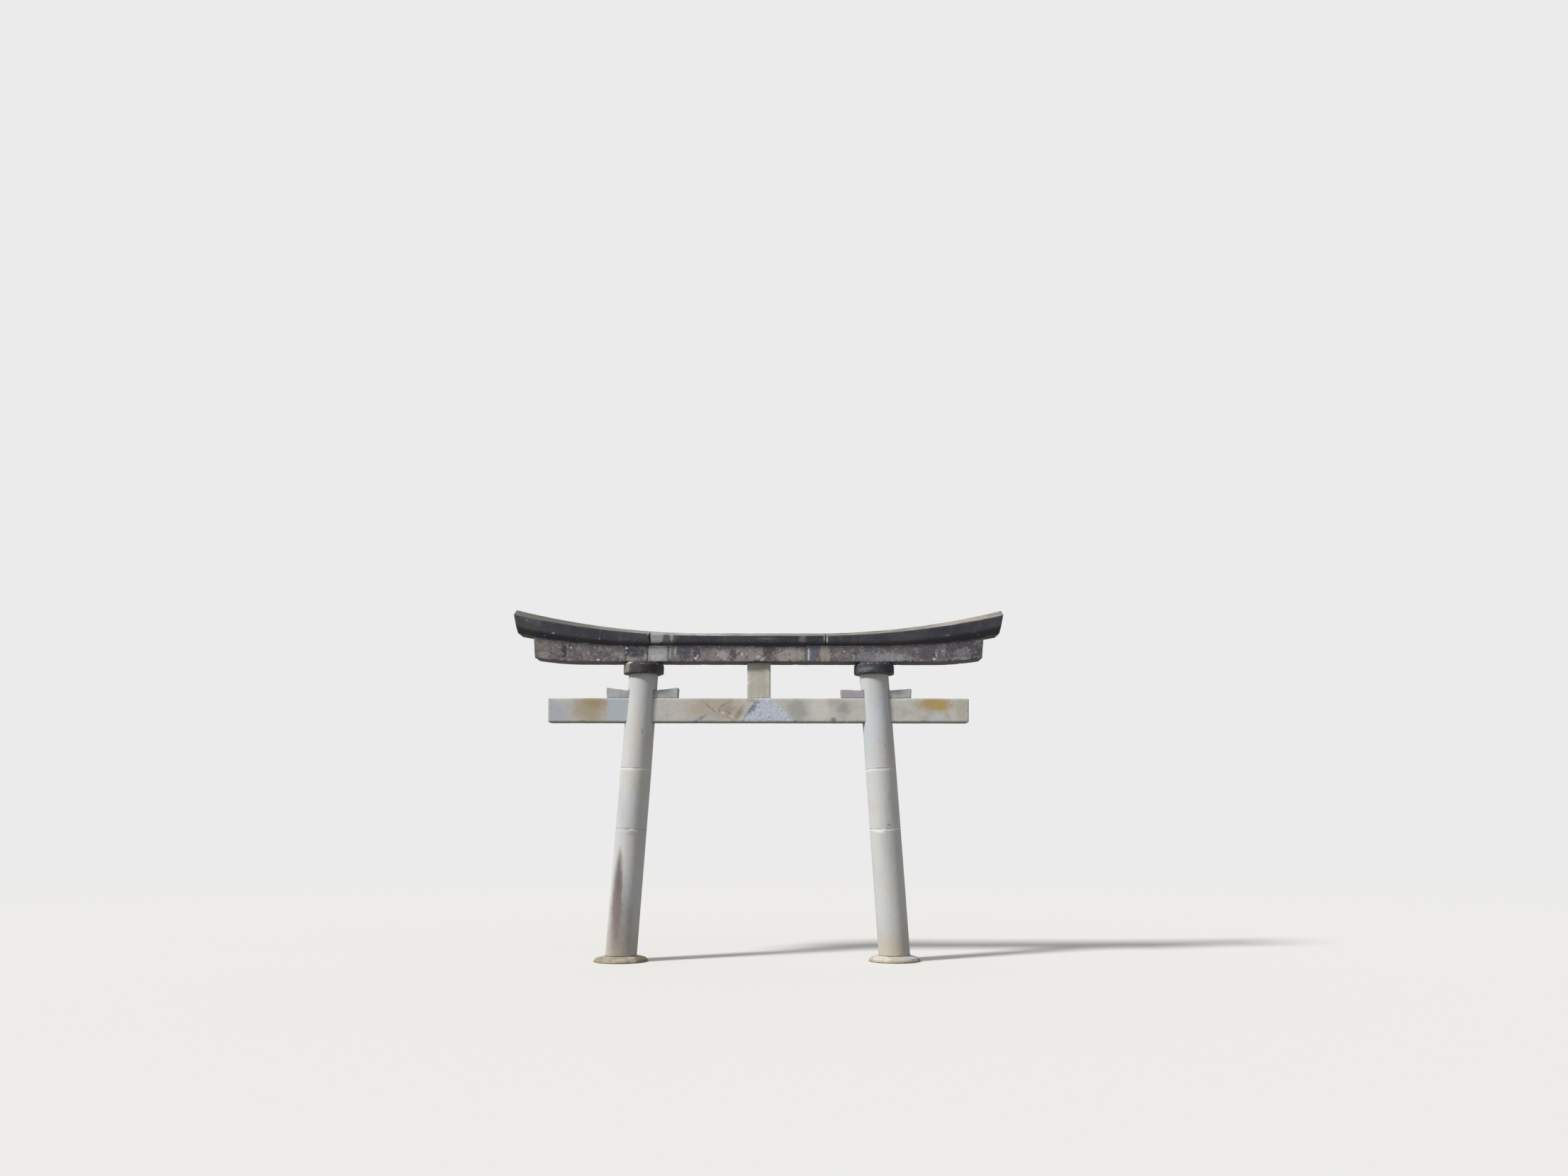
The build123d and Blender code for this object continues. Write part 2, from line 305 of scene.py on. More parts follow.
def weatheringTree():
    tree = bpy.data.node_groups.new("stoneWeathering", "GeometryNodeTree")
    tree.interface.new_socket("Geometry", in_out="INPUT", socket_type="NodeSocketGeometry")
    for name in ("Hollow Depth", "Hollow Size", "Tooling Depth", "Tooling Size", "Arris Radius",
                 "Chip Depth", "Chip Reach", "Chip Size", "Chip Start", "Rough Depth", "Rough Size", "Seed"):
        tree.interface.new_socket(name, in_out="INPUT", socket_type="NodeSocketFloat")
    tree.interface.new_socket("Finish", in_out="INPUT", socket_type="NodeSocketMaterial")
    tree.interface.new_socket("Geometry", in_out="OUTPUT", socket_type="NodeSocketGeometry")
    sizes = addNode(tree, "NodeGroupInput").outputs
    distance = addNode(tree, "GeometryNodeInputNamedAttribute",
                       {"data_type": "FLOAT", "Name": "arrisDistance"})
    scar = addNode(tree, "GeometryNodeInputNamedAttribute", {"data_type": "FLOAT", "Name": "scarDepth"})
    limit = addNode(tree, "GeometryNodeInputNamedAttribute", {"data_type": "FLOAT", "Name": "wearLimit"})
    rough = addNode(tree, "GeometryNodeInputNamedAttribute", {"data_type": "FLOAT", "Name": "roughPlace"})

    def unevenness(size, shift, detail):
        # noise whose waves are as long as a size input
        scale = addNode(tree, "ShaderNodeMath", {"operation": "DIVIDE", 0: 1.0}, {1: size})
        seed = addNode(tree, "ShaderNodeMath", {"operation": "ADD", 1: shift}, {0: sizes["Seed"]})
        return addNode(tree, "ShaderNodeTexNoise", {"noise_dimensions": "4D", "Detail": detail},
                       {"Scale": scale.outputs[0], "W": seed.outputs[0]}).outputs[0]

    hollow = addNode(tree, "ShaderNodeMapRange", weathering["noise"],
                     {"Value": unevenness(sizes["Hollow Size"], 0.0, 2.0)})
    tooling = addNode(tree, "ShaderNodeMapRange", weathering["noise"],
                      {"Value": unevenness(sizes["Tooling Size"], 5.0, 3.0)})
    raggedShare = addNode(tree, "ShaderNodeMapRange", weathering["ragged"],
                          {"Value": unevenness(sizes["Chip Size"], 11.0, 3.0)})
    arrisReach = addNode(tree, "ShaderNodeMath", {"operation": "MULTIPLY"},
                         {0: raggedShare.outputs[0], 1: sizes["Arris Radius"]})
    nearness = addNode(tree, "ShaderNodeMapRange", {"From Min": 0.0, "To Min": 1.0, "To Max": 0.0},
                       {"Value": distance.outputs[0], "From Max": arrisReach.outputs[0]})
    rounding = addNode(tree, "ShaderNodeMath", {"operation": "POWER", 1: 2.0}, {0: nearness.outputs[0]})
    filletDepth = addNode(tree, "ShaderNodeMath", {"operation": "MULTIPLY", 1: weathering["filletShare"]},
                          {0: arrisReach.outputs[0]})
    chipEnd = addNode(tree, "ShaderNodeMath", {"operation": "ADD", 1: weathering["chipEdge"]},
                      {0: sizes["Chip Start"]})
    chip = addNode(tree, "ShaderNodeMapRange", {"interpolation_type": "SMOOTHSTEP"},
                   {"Value": unevenness(sizes["Chip Size"], 23.0, 1.5), "From Min": sizes["Chip Start"],
                    "From Max": chipEnd.outputs[0]})
    chipDepth = addNode(tree, "ShaderNodeMapRange", {"From Min": 0.0, "To Max": 0.0},
                        {"Value": distance.outputs[0], "From Max": sizes["Chip Reach"],
                         "To Min": sizes["Chip Depth"]})
    roughShare = addNode(tree, "ShaderNodeMapRange", {"From Min": 0.0, "From Max": weathering["roughEdge"]},
                         {"Value": rough.outputs[0]})
    hewn = addNode(tree, "ShaderNodeMapRange", weathering["noise"],
                   {"Value": unevenness(sizes["Rough Size"], 31.0, 3.0)})
    broken = addNode(tree, "ShaderNodeMath", {"operation": "MULTIPLY"},
                     {0: roughShare.outputs[0], 1: hewn.outputs[0]})
    total = addNode(tree, "ShaderNodeMath", {"operation": "MULTIPLY"},
                    {0: broken.outputs[0], 1: sizes["Rough Depth"]})
    for share, depth in ((hollow, sizes["Hollow Depth"]), (tooling, sizes["Tooling Depth"]),
                         (rounding, filletDepth.outputs[0]), (chip, chipDepth.outputs[0])):
        total = addNode(tree, "ShaderNodeMath", {"operation": "MULTIPLY_ADD"},
                        {0: share.outputs[0], 1: depth, 2: total.outputs[0]})
    held = addNode(tree, "ShaderNodeMath", {"operation": "MINIMUM"},
                   {0: total.outputs[0], 1: limit.outputs[0]})
    cutAway = addNode(tree, "ShaderNodeMath", {"operation": "ADD"}, {0: held.outputs[0], 1: scar.outputs[0]})
    inwards = addNode(tree, "ShaderNodeMath", {"operation": "MULTIPLY", 1: -1.0}, {0: cutAway.outputs[0]})
    outward = addNode(tree, "GeometryNodeInputNamedAttribute",
                      {"data_type": "FLOAT_VECTOR", "Name": "outward"})
    move = addNode(tree, "ShaderNodeVectorMath", {"operation": "SCALE"},
                   {0: outward.outputs[0], "Scale": inwards.outputs[0]})
    wornAndHighlight = addNode(tree, "GeometryNodeSetPosition", None,
                   {"Geometry": sizes["Geometry"], "Offset": move.outputs[0]})
    smooth = addNode(tree, "GeometryNodeSetShadeSmooth", {"Shade Smooth": True}, {0: wornAndHighlight.outputs[0]})
    real = addNode(tree, "GeometryNodeRealizeInstances", None, {0: smooth.outputs[0]})
    finish = addNode(tree, "GeometryNodeSetMaterial", None,
                     {"Geometry": real.outputs[0], "Material": sizes["Finish"]})
    out = addNode(tree, "NodeGroupOutput")
    tree.links.new(finish.outputs[0], out.inputs[0])
    return tree


def carve(mesh, values, node):
    # how deep each scar cuts at each point, and how far inside a rough hewn place of the front it lies
    places = np.empty(len(mesh.vertices) * 3)
    mesh.vertices.foreach_get("co", places)
    places = places.reshape(-1, 3)
    depths = np.zeros(len(places))
    for centre, reach, depth in values.get("scars", {}).get(node, []):
        away = np.linalg.norm((places - np.array(centre)) / np.array(reach), axis=1)
        depths = np.maximum(depths, depth / 1000 * np.clip(meshing["scarSlope"] * (1 - away), 0, 1))
    mesh.attributes.new("scarDepth", "FLOAT", "POINT").data.foreach_set("value", depths)
    rough = values.get("rough", {}).get(node)
    if rough:
        x, y, z = places.T
        (leftStart, leftSlope), (rightStart, rightSlope) = rough["left"], rough["right"]
        below = rough["top"] - z
        hill = np.minimum(x - leftStart + leftSlope * below, rightStart + rightSlope * below - x)
        spotX, spotZ = rough["spot"]
        spot = rough["spotShare"] * (rough["spotReach"] - np.hypot(x - spotX, z - spotZ))
        inside = np.where(y < rough["front"], np.maximum(hill, spot), -1)
        mesh.attributes.new("roughPlace", "FLOAT", "POINT").data.foreach_set("value", inside)


def wear(holder, tree, sizes, finish):
    # runs the weathering on one stone and keeps the result as a plain mesh
    modifier = holder.modifiers.new("weathering", "NODES")
    modifier.node_group = tree
    inputs = {item.name: item.identifier for item in tree.interface.items_tree if item.in_out == "INPUT"}
    for name, value in sizes.items():
        modifier[inputs[name]] = value
    modifier[inputs["Finish"]] = finish
    return applied(holder)


# Finishes. Each one starts with the stone's grain and takes layers over it.
common = {
    "mica": {"From Min": 0.80, "From Max": 0.88, "To Max": 0.40},    # which of the crystals, and how strong
    "feldspar": {"From Min": 0.30, "From Max": 0.10, "To Max": 0.32},
    "crystalRelief": 0.25,
    "relief": [{"size": 14, "edges": (0.2, 0.8), "most": 0.6, "shift": 3.1, "detail": 4.0},
               {"size": 60, "edges": (0.25, 0.75), "most": 1.0, "shift": 8.3, "detail": 2.0}],
    "spotShape": {"ragged": 1.3, "grain": 16, "edge": 0.7, "most": 0.8},
    "lineShape": {"ragged": 0.6, "grain": 30, "edge": 0.8},
    "lineWaves": 70,             # millimetres
    "fleckRagged": 1.6,          # how far noise moves the border of a lichen crust, in radii
    "fleckEdge": (1.8, 1.4),     # where its cover starts and where it is full
    "index": 1.54,               # refraction of quartz and feldspar
}


class Finish:
    # a stone's material while its layers are laid: coordinates in metres on the object itself
    def __init__(self, name, colour):
        self.material = bpy.data.materials.new(name)
        self.material.use_nodes = True
        self.tree = self.material.node_tree
        self.tree.nodes.clear()
        self.coords = addNode(self.tree, "ShaderNodeTexCoord").outputs["Object"]
        base = addNode(self.tree, "ShaderNodeRGB")
        base.outputs[0].default_value = toLinear(colour)
        self.colour = base.outputs[0]
        self.heights = []
        self.grains = {}

    def grain(self, size):
        # the noise that breaks up the borders of marks, one for each grain in millimetres
        if size not in self.grains:
            noise = addNode(self.tree, "ShaderNodeTexNoise",
                            {"Scale": 1000 / size, "Detail": 5.0, "Roughness": 0.65},
                            {"Vector": self.coords})
            self.grains[size] = noise.outputs[0]
        return self.grains[size]

    def clouds(self, size, edges, most=1.0, stretch=(1, 1, 1), shift=0.0, detail=3.0, lace=0.5):
        # cover between 0 and most, in blotches with waves of size millimetres
        placed = addNode(self.tree, "ShaderNodeMapping",
                         {"Location": (shift, -shift, shift), "Scale": stretch}, {"Vector": self.coords})
        noise = addNode(self.tree, "ShaderNodeTexNoise",
                        {"Scale": 1000 / size, "Detail": detail, "Roughness": lace},
                        {"Vector": placed.outputs[0]})
        return addNode(self.tree, "ShaderNodeMapRange",
                       {"interpolation_type": "SMOOTHSTEP", "From Min": edges[0], "From Max": edges[1],
                        "To Max": most}, {"Value": noise.outputs[0]}).outputs[0]

    def bent(self, size, reach):
        # coordinates that wander by up to reach metres, in waves of size millimetres
        noise = addNode(self.tree, "ShaderNodeTexNoise", {"Scale": 1000 / size, "Detail": 3.0},
                        {"Vector": self.coords})
        moved = addNode(self.tree, "ShaderNodeVectorMath",
                        {"operation": "MULTIPLY_ADD", 1: (2 * reach,) * 3},
                        {0: noise.outputs["Color"], 2: self.coords})
        return addNode(self.tree, "ShaderNodeVectorMath", {"operation": "SUBTRACT", 1: (reach,) * 3},
                       {0: moved.outputs[0]}).outputs[0]

    def patch(self, at, reach, turn=0.0, ragged=0.5, grain=90, edge=0.45, most=1.0, coords=None):
        # cover inside an ellipsoid, with a border that noise breaks up
        placed = addNode(self.tree, "ShaderNodeMapping",
                         {"vector_type": "TEXTURE", "Location": at, "Rotation": (0, math.radians(turn), 0),
                          "Scale": reach}, {"Vector": coords or self.coords})
        away = addNode(self.tree, "ShaderNodeVectorMath", {"operation": "LENGTH"}, {0: placed.outputs[0]})
        broken = addNode(self.tree, "ShaderNodeMath", {"operation": "MULTIPLY_ADD", 1: 2 * ragged},
                         {0: self.grain(grain), 2: away.outputs["Value"]})
        return addNode(self.tree, "ShaderNodeMapRange",
                       {"interpolation_type": "SMOOTHSTEP", "From Min": 1 + ragged,
                        "From Max": 1 + ragged - edge, "To Max": most},
                       {"Value": broken.outputs[0]}).outputs[0]

    def flecks(self, spacing, radius, share, most, shift):
        # round crusts of lichen: radius in millimetres, in a share of the cells that lie spacing apart
        placed = addNode(self.tree, "ShaderNodeMapping", {"Location": (shift, -shift, shift)},
                         {"Vector": self.coords})
        width = radius / spacing
        start, full = (limit * width for limit in common["fleckEdge"])
        cells = addNode(self.tree, "ShaderNodeTexVoronoi", {"Scale": 1000 / spacing},
                        {"Vector": placed.outputs[0]})
        kind = addNode(self.tree, "ShaderNodeSeparateColor", None, {0: cells.outputs["Color"]})
        noise = addNode(self.tree, "ShaderNodeTexNoise",
                        {"Scale": 1000 / radius, "Detail": 3.0, "Roughness": 0.65},
                        {"Vector": placed.outputs[0]})
        broken = addNode(self.tree, "ShaderNodeMath",
                         {"operation": "MULTIPLY_ADD", 1: common["fleckRagged"] * width},
                         {0: noise.outputs[0], 2: cells.outputs["Distance"]})
        inside = addNode(self.tree, "ShaderNodeMapRange",
                         {"From Min": start, "From Max": full, "To Max": most},
                         {"Value": broken.outputs[0]})
        present = addNode(self.tree, "ShaderNodeMath", {"operation": "LESS_THAN", 1: share},
                          {0: kind.outputs[0]})
        return addNode(self.tree, "ShaderNodeMath", {"operation": "MULTIPLY"},
                       {0: inside.outputs[0], 1: present.outputs[0]}).outputs[0]

    def facing(self, low, high, most=1.0):
        # cover by how far the surface faces upwards, from -1 to 1
        normal = addNode(self.tree, "ShaderNodeNewGeometry").outputs["True Normal"]
        parts = addNode(self.tree, "ShaderNodeSeparateXYZ", None, {0: normal})
        return addNode(self.tree, "ShaderNodeMapRange", {"From Min": low, "From Max": high, "To Max": most},
                       {"Value": parts.outputs["Z"]}).outputs[0]

    def measured(self, name, low, high, most=1.0, ragged=0.0):
        # cover that grows as a distance kept in the mesh goes from low to high, millimetres
        value = addNode(self.tree, "ShaderNodeAttribute", {"attribute_name": name}).outputs["Fac"]
        if ragged:
            value = addNode(self.tree, "ShaderNodeMath", {"operation": "MULTIPLY_ADD", 1: ragged / 1000},
                            {0: self.grain(60), 2: value}).outputs[0]
        return addNode(self.tree, "ShaderNodeMapRange",
                       {"interpolation_type": "SMOOTHSTEP", "From Min": low / 1000, "From Max": high / 1000,
                        "To Max": most}, {"Value": value}).outputs[0]

    def height(self, low, high, most):
        # cover that grows from one height above the ground to another, metres
        place = addNode(self.tree, "ShaderNodeSeparateXYZ", None, {0: self.coords})
        return addNode(self.tree, "ShaderNodeMapRange",
                       {"interpolation_type": "SMOOTHSTEP", "From Min": low, "From Max": high,
                        "To Max": most}, {"Value": place.outputs["Z"]}).outputs[0]

    def lay(self, colour, cover, within=None):
        # a colour over what lies below it, also only where a second cover reaches
        if within is not None:
            cover = addNode(self.tree, "ShaderNodeMath", {"operation": "MULTIPLY"},
                            {0: cover, 1: within}).outputs[0]
        self.colour = addNode(self.tree, "ShaderNodeMix", {"data_type": "RGBA", 7: toLinear(colour)},
                              {0: cover, 6: self.colour}).outputs[2]

    def crystals(self, size, dark, pale):
        # mica flecks and feldspar grains of the granite, coarser than the real 1 to 2 mm so that they show
        cells = addNode(self.tree, "ShaderNodeTexVoronoi", {"Scale": 1000 / size}, {"Vector": self.coords})
        kind = addNode(self.tree, "ShaderNodeSeparateColor", None, {0: cells.outputs["Color"]})
        for mineral, colour in (("mica", dark), ("feldspar", pale)):
            cover = addNode(self.tree, "ShaderNodeMapRange", common[mineral], {"Value": kind.outputs[0]})
            self.lay(colour, cover.outputs[0])
        raised = addNode(self.tree, "ShaderNodeMath", {"operation": "MULTIPLY", 1: common["crystalRelief"]},
                         {0: kind.outputs[1]})
        self.heights.append(raised.outputs[0])

    def close(self, roughness, bumpDepth):
        # joins the layers to the shader, with the fine relief as bump: bumpDepth in millimetres
        total, *others = [self.clouds(**values) for values in common["relief"]] + self.heights
        for height in others:
            total = addNode(self.tree, "ShaderNodeMath", {"operation": "ADD"},
                            {0: total, 1: height}).outputs[0]
        bump = addNode(self.tree, "ShaderNodeBump", {"Distance": bumpDepth / 1000}, {"Height": total})
        shader = addNode(self.tree, "ShaderNodeBsdfPrincipled",
                         {"Roughness": roughness, "IOR": common["index"]},
                         {"Base Color": self.colour, "Normal": bump.outputs[0]})
        out = addNode(self.tree, "ShaderNodeOutputMaterial")
        self.tree.links.new(shader.outputs[0], out.inputs[0])
        return self.material


def cloud(colour, size, edges, most, **shape):
    # a colour in blotches all over a stone: waves in millimetres, the noise between which it comes in,
    # and the most that it covers
    return {"colour": colour, "size": size, "edges": edges, "most": most, "shape": shape}


def layCloud(finish, values, within=None):
    cover = finish.clouds(values["size"], values["edges"], values["most"], **values["shape"])
    finish.lay(values["colour"], cover, within)


def mark(colour, at, reach, **shape):
    # a stain or a lichen on a stone: where it is and how far it reaches, in metres, and how its border runs
    return {"colour": colour, "at": at, "reach": reach, "shape": shape}


def layMark(finish, values, place, within=None):
    # a mark on the face of a stone: values give the y of that face, and how deep its marks go
    (x, z), (reachX, reachZ) = place["at"], place["reach"]
    cover = finish.patch((x, values["face"], z), (reachX, values["depth"], reachZ), **place["shape"])
    finish.lay(place["colour"], cover, within)


def layMarks(finish, values, node):
    # the stains and lichens on the front of one stone
    for place in values["marks"].get(node, []):
        layMark(finish, values, place)


def laySpots(finish, values, node):
    # small round marks: crusts of white lichen, and on the tie beam pits darkened with painted shade; x, z
    # and reach in metres
    for x, z, reach in values["spots"].get(node, []):
        layMark(finish, values, mark(values["spot"], (x, z), (reach, 0.7 * reach), **common["spotShape"]))


def layLines(finish, values, node):
    # dark veins and tool marks: x, z and half length in metres, and the slope in degrees
    bent = finish.bent(common["lineWaves"], values["lineWander"])
    for x, z, reach, turn in values["lines"].get(node, []):
        layMark(finish, values, mark(values["line"], (x, z), (reach, values["lineWidth"]), turn=turn,
                                     most=values["lineMost"], coords=bent, **common["lineShape"]))


# Columns: fine dressed granite, light and even, washed by rain, so nearly without gloss
column = {
    "tone": "#b8b8b5",
    "crystals": (4, "#9a9997", "#c9c8c5"),    # size in millimetres, mica, feldspar
    "cool": cloud("#aeb2b6", 900, (0.42, 0.62), 0.7, shift=2.0),
    "warm": cloud("#b5afa7", 420, (0.5, 0.65), 0.5, shift=5.0),
    "run": cloud("#a4a4a3", 150, (0.52, 0.7), 0.5, stretch=(1, 1, 0.07), shift=7.0),
    "splash": "#a3998b",
    "surface": (0.86, 0.9),    # roughness, and depth of the fine relief in millimetres
    "voxel": 0.0125,
    "wear": {"Hollow Depth": 0.0010, "Hollow Size": 0.30, "Tooling Depth": 0.0004, "Tooling Size": 0.06,
             "Arris Radius": 0.0008, "Chip Depth": 0.005, "Chip Reach": 0.02, "Chip Size": 0.09,
             "Chip Start": 0.68},
    "face": -0.18,
    "depth": 0.13,
    "marks": {
        "left_lower_drum": [
            mark("#857a75", (-1.86, 0.45), (0.26, 1.00), ragged=0.3, grain=150, edge=0.8, most=0.8),
            mark("#6a5d57", (-1.867, 0.78), (0.105, 0.78), ragged=0.35, grain=90, edge=0.7, most=0.85),
            mark("#5c5250", (-1.850, 1.12), (0.052, 0.44), turn=2, ragged=0.35, grain=70, edge=0.8,
                 most=0.8),
            mark("#5d524e", (-1.815, 0.98), (0.016, 0.36), turn=2, ragged=0.5, grain=60, edge=0.8, most=0.6),
            mark("#a39b68", (-1.985, 0.19), (0.07, 0.13), edge=0.9, most=0.45),
            mark("#9d9464", (-1.80, 0.15), (0.05, 0.10), edge=0.9, most=0.35),
            mark("#9a9893", (-1.70, 1.66), (0.07, 0.03), most=0.5),
        ],
        "left_upper_drum": [
            mark("#bcb3a9", (-1.68, 3.05), (0.14, 0.55), ragged=0.3, edge=0.9, most=0.6),
            mark("#999a9c", (-1.574, 3.021), (0.018, 0.055), grain=40, most=0.8),
        ],
        "right_lower_drum": [
            mark("#b3a993", (1.80, 0.15), (0.2, 0.18), edge=0.9, most=0.6),
            mark("#cfccc5", (1.64, 1.685), (0.09, 0.022), grain=30, most=0.8),
        ],
        "right_middle_drum": [
            mark("#a0a2a7", (1.772, 2.147), (0.030, 0.080), grain=35, ragged=0.9, most=0.6),
            mark("#6f6d69", (1.764, 1.773), (0.038, 0.014), grain=25, ragged=0.9, most=0.7),
            mark("#7b7974", (1.764, 1.821), (0.014, 0.010), grain=25, ragged=0.9, most=0.6),
        ],
        "right_upper_drum": [
            mark("#b9bdc2", (1.66, 3.20), (0.15, 0.50), ragged=0.3, edge=0.9, most=0.6),
            mark("#868585", (1.67, 3.469), (0.016, 0.016), grain=20, ragged=1.1, most=0.65),
            mark("#8b8986", (1.641, 2.917), (0.014, 0.012), grain=20, ragged=1.1, most=0.65),
            mark("#828285", (1.727, 2.831), (0.012, 0.022), grain=20, ragged=1.1, most=0.65),
        ],
    },
    "scars": {
        "right_middle_drum": [((1.772, -0.17, 2.147), (0.022, 0.06, 0.075), 1.2),
                              ((1.764, -0.17, 1.773), (0.036, 0.06, 0.016), 5.0),
                              ((1.764, -0.17, 1.821), (0.014, 0.06, 0.012), 3.0)],
        "right_upper_drum": [((1.67, -0.19, 3.469), (0.018, 0.06, 0.018), 3.0),
                             ((1.641, -0.2, 2.917), (0.016, 0.06, 0.014), 2.5),
                             ((1.727, -0.17, 2.831), (0.014, 0.06, 0.024), 3.0)],
        "left_upper_drum": [((-1.574, -0.2, 3.021), (0.018, 0.06, 0.055), 2.5)],
    },
}


def columnFinish(node):
    finish = Finish(node + "_granite", column["tone"])
    finish.crystals(*column["crystals"])
    for name in ("cool", "warm", "run"):
        layCloud(finish, column[name])
    finish.lay(column["splash"], finish.height(low=0.75, high=0.05, most=0.6))
    layMarks(finish, column, node)
    return finish.close(*column["surface"])


# Mortar: lime mortar, pale and dull, pressed out of the joints and smeared over the stone
mortar = {
    "tone": "#d6d4cd",
    "shade": cloud("#c3c0b8", 60, (0.45, 0.65), 0.7, shift=4.0),
    "faint": "#a9aaa9",          # where the joint has weathered back to the colour of the stone
    "faintBed": "left_lower_mortar",
    "faintMost": 0.93,
    "left": -1.69,               # where a smear of that bed is left, and how far it reaches
    "leftReach": (0.045, 0.15, 0.08),
    "surface": (0.92, 0.8),
    "segments": 260,
    "waves": (2, 16),            # how many swellings there are round a joint
    "calm": 0.8,                 # how much flatter the short ones are
    "lap": 0.0038,               # how far the rim laps over the drums everywhere
    "smear": 0.012,
    "smearStart": 0.45,
    "inset": 0.0001,             # how far the rim lies inside the drums where it swells least
    "proud": 0.0009,
    "belly": 0.0003,             # how much further the middle of the rim stands out
    "feather": 0.0018,           # how far the borders of the rim dip into the drums
    "crest": 0.35,               # share of the lap over which the rim stands at its full height
    "core": 0.9,                 # share of the radius where the visible rim starts
}


def mortarFinish(node):
    finish = Finish(node + "_lime", mortar["tone"])
    layCloud(finish, mortar["shade"])
    if node == mortar["faintBed"]:
        low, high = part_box(node)
        place = (mortar["left"], low.y, (low.z + high.z) / 2)
        smear = finish.patch(place, mortar["leftReach"], ragged=0.3, grain=30)
        elsewhere = addNode(finish.tree, "ShaderNodeMapRange",
                            {"To Min": mortar["faintMost"], "To Max": 0.0}, {"Value": smear})
        finish.lay(mortar["faint"], elsewhere.outputs[0])
    return finish.close(*mortar["surface"])


def mortarBead(node):
    # a bed between two drums, whose rim swells and smears as it was pressed out
    origin, along = turnedAxis(node)
    across = along.cross(Vector((0, 1, 0))).normalized()
    forth = along.cross(across)
    drum = node.replace("mortar", "drum")
    radius = (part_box(drum)[1].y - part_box(drum)[0].y) / 2
    heights = [(vert.co - origin).dot(along) for vert in cadNodes[node].data.vertices]
    low, high = min(heights), max(heights)
    random = np.random.default_rng(sum(map(ord, node)))
    count = mortar["segments"]
    turn = np.arange(count) / count * 2 * math.pi

    def swelling(waves):
        # smooth noise round the joint, from 0 to 1
        value = np.zeros(count)
        for k in waves:
            value += random.normal() * np.cos(k * turn + random.uniform(0, 2 * math.pi)) / k**mortar["calm"]
        return (value - value.min()) / (value.max() - value.min())

    up, down, proud = (swelling(range(*mortar["waves"])) for _ in range(3))
    lift = mortar["lap"] + mortar["smear"] * np.clip(up - mortar["smearStart"], 0, 1)
    drop = mortar["lap"] + mortar["smear"] * np.clip(down - mortar["smearStart"], 0, 1)
    core = np.full(count, mortar["core"] * radius)
    rim = radius - mortar["inset"] + mortar["proud"] * proud
    shape = bmesh.new()
    ends = [shape.verts.new(origin + along * height) for height in (high, low)]
    flat = np.zeros(count)
    sunk = rim - mortar["feather"]
    crest = mortar["crest"]
    outline = ((high + flat, core), (high + lift, sunk), (high + crest * lift, rim),
               ((low + high) / 2 + flat, rim + mortar["belly"]),
               (low - crest * drop, rim), (low - drop, sunk), (low + flat, core))
    rows = []
    for height, reach in outline:
        rows.append([])
        for h, r, t in zip(height, reach, turn):
            out = across * math.cos(t) + forth * math.sin(t)
            rows[-1].append(shape.verts.new(origin + along * float(h) + out * float(r)))
    for place in range(count):
        after = (place + 1) % count
        shape.faces.new((ends[0], rows[0][place], rows[0][after]))
        shape.faces.new((ends[1], rows[-1][after], rows[-1][place]))
        for upper, lower in zip(rows, rows[1:]):
            shape.faces.new((upper[place], lower[place], lower[after], upper[after]))
    bmesh.ops.recalc_face_normals(shape, faces=shape.faces)
    mesh = bpy.data.meshes.new(node + "_bead")
    shape.to_mesh(mesh)
    shape.free()
    bead = bpy.data.objects.new(node + "_bead", mesh)
    scene.collection.objects.link(bead)
    mesh.materials.append(mortarFinish(node))
    return bead


# Base stones: rougher granite, earth stained round the foot
baseStone = {
    "tone": "#a29b8e",
    "crystals": (5, "#7d776c", "#c5bfb2"),
    "dark": cloud("#857e71", 180, (0.45, 0.62), 0.8, shift=1.0),
    "pale": cloud("#b5afa3", 120, (0.4, 0.55), 0.9),
    "earth": "#8c7f65",
    "moss": cloud("#6d6848", 90, (0.58, 0.68), 0.6, shift=6.0),
    "surface": (0.93, 2.4),
    "voxel": 0.0085,
    "wear": {"Hollow Depth": 0.0030, "Hollow Size": 0.18, "Tooling Depth": 0.0015, "Tooling Size": 0.05,
             "Arris Radius": 0.012, "Chip Depth": 0.010, "Chip Reach": 0.05, "Chip Size": 0.12,
             "Chip Start": 0.58},
    "face": -0.22,
    "depth": 0.25,
    "marks": {
        "left_base_stone": [
            mark("#82775f", (-1.82, 0.05), (0.40, 0.12), edge=0.9, most=0.6),
            # moss, darkened further with painted shade on the side turned away from the light
            mark("#5f5a3c", (-1.52, 0.05), (0.14, 0.08), most=0.85),
            mark("#77735c", (-2.10, 0.04), (0.10, 0.06), most=0.7),
        ],
        "right_base_stone": [
            mark("#b1a999", (1.82, 0.05), (0.40, 0.12), edge=0.9, most=0.5),
            # painted highlight on the side that faces the light
            mark("#bfb9ac", (1.62, 0.05), (0.16, 0.08), most=0.8),
            # painted shade, bluish, on the side turned away from the light
            mark("#a9adb0", (2.0, 0.05), (0.12, 0.08), most=0.6),
        ],
    },
}


def baseFinish(node):
    finish = Finish(node + "_roughGranite", baseStone["tone"])
    finish.crystals(*baseStone["crystals"])
    layCloud(finish, baseStone["dark"])
    layCloud(finish, baseStone["pale"], finish.facing(low=0.3, high=0.9))
    layCloud(finish, baseStone["moss"])
    layMarks(finish, baseStone, node)
    finish.lay(baseStone["earth"], finish.height(low=0.05, high=0.0, most=0.75))
    return finish.close(*baseStone["surface"])
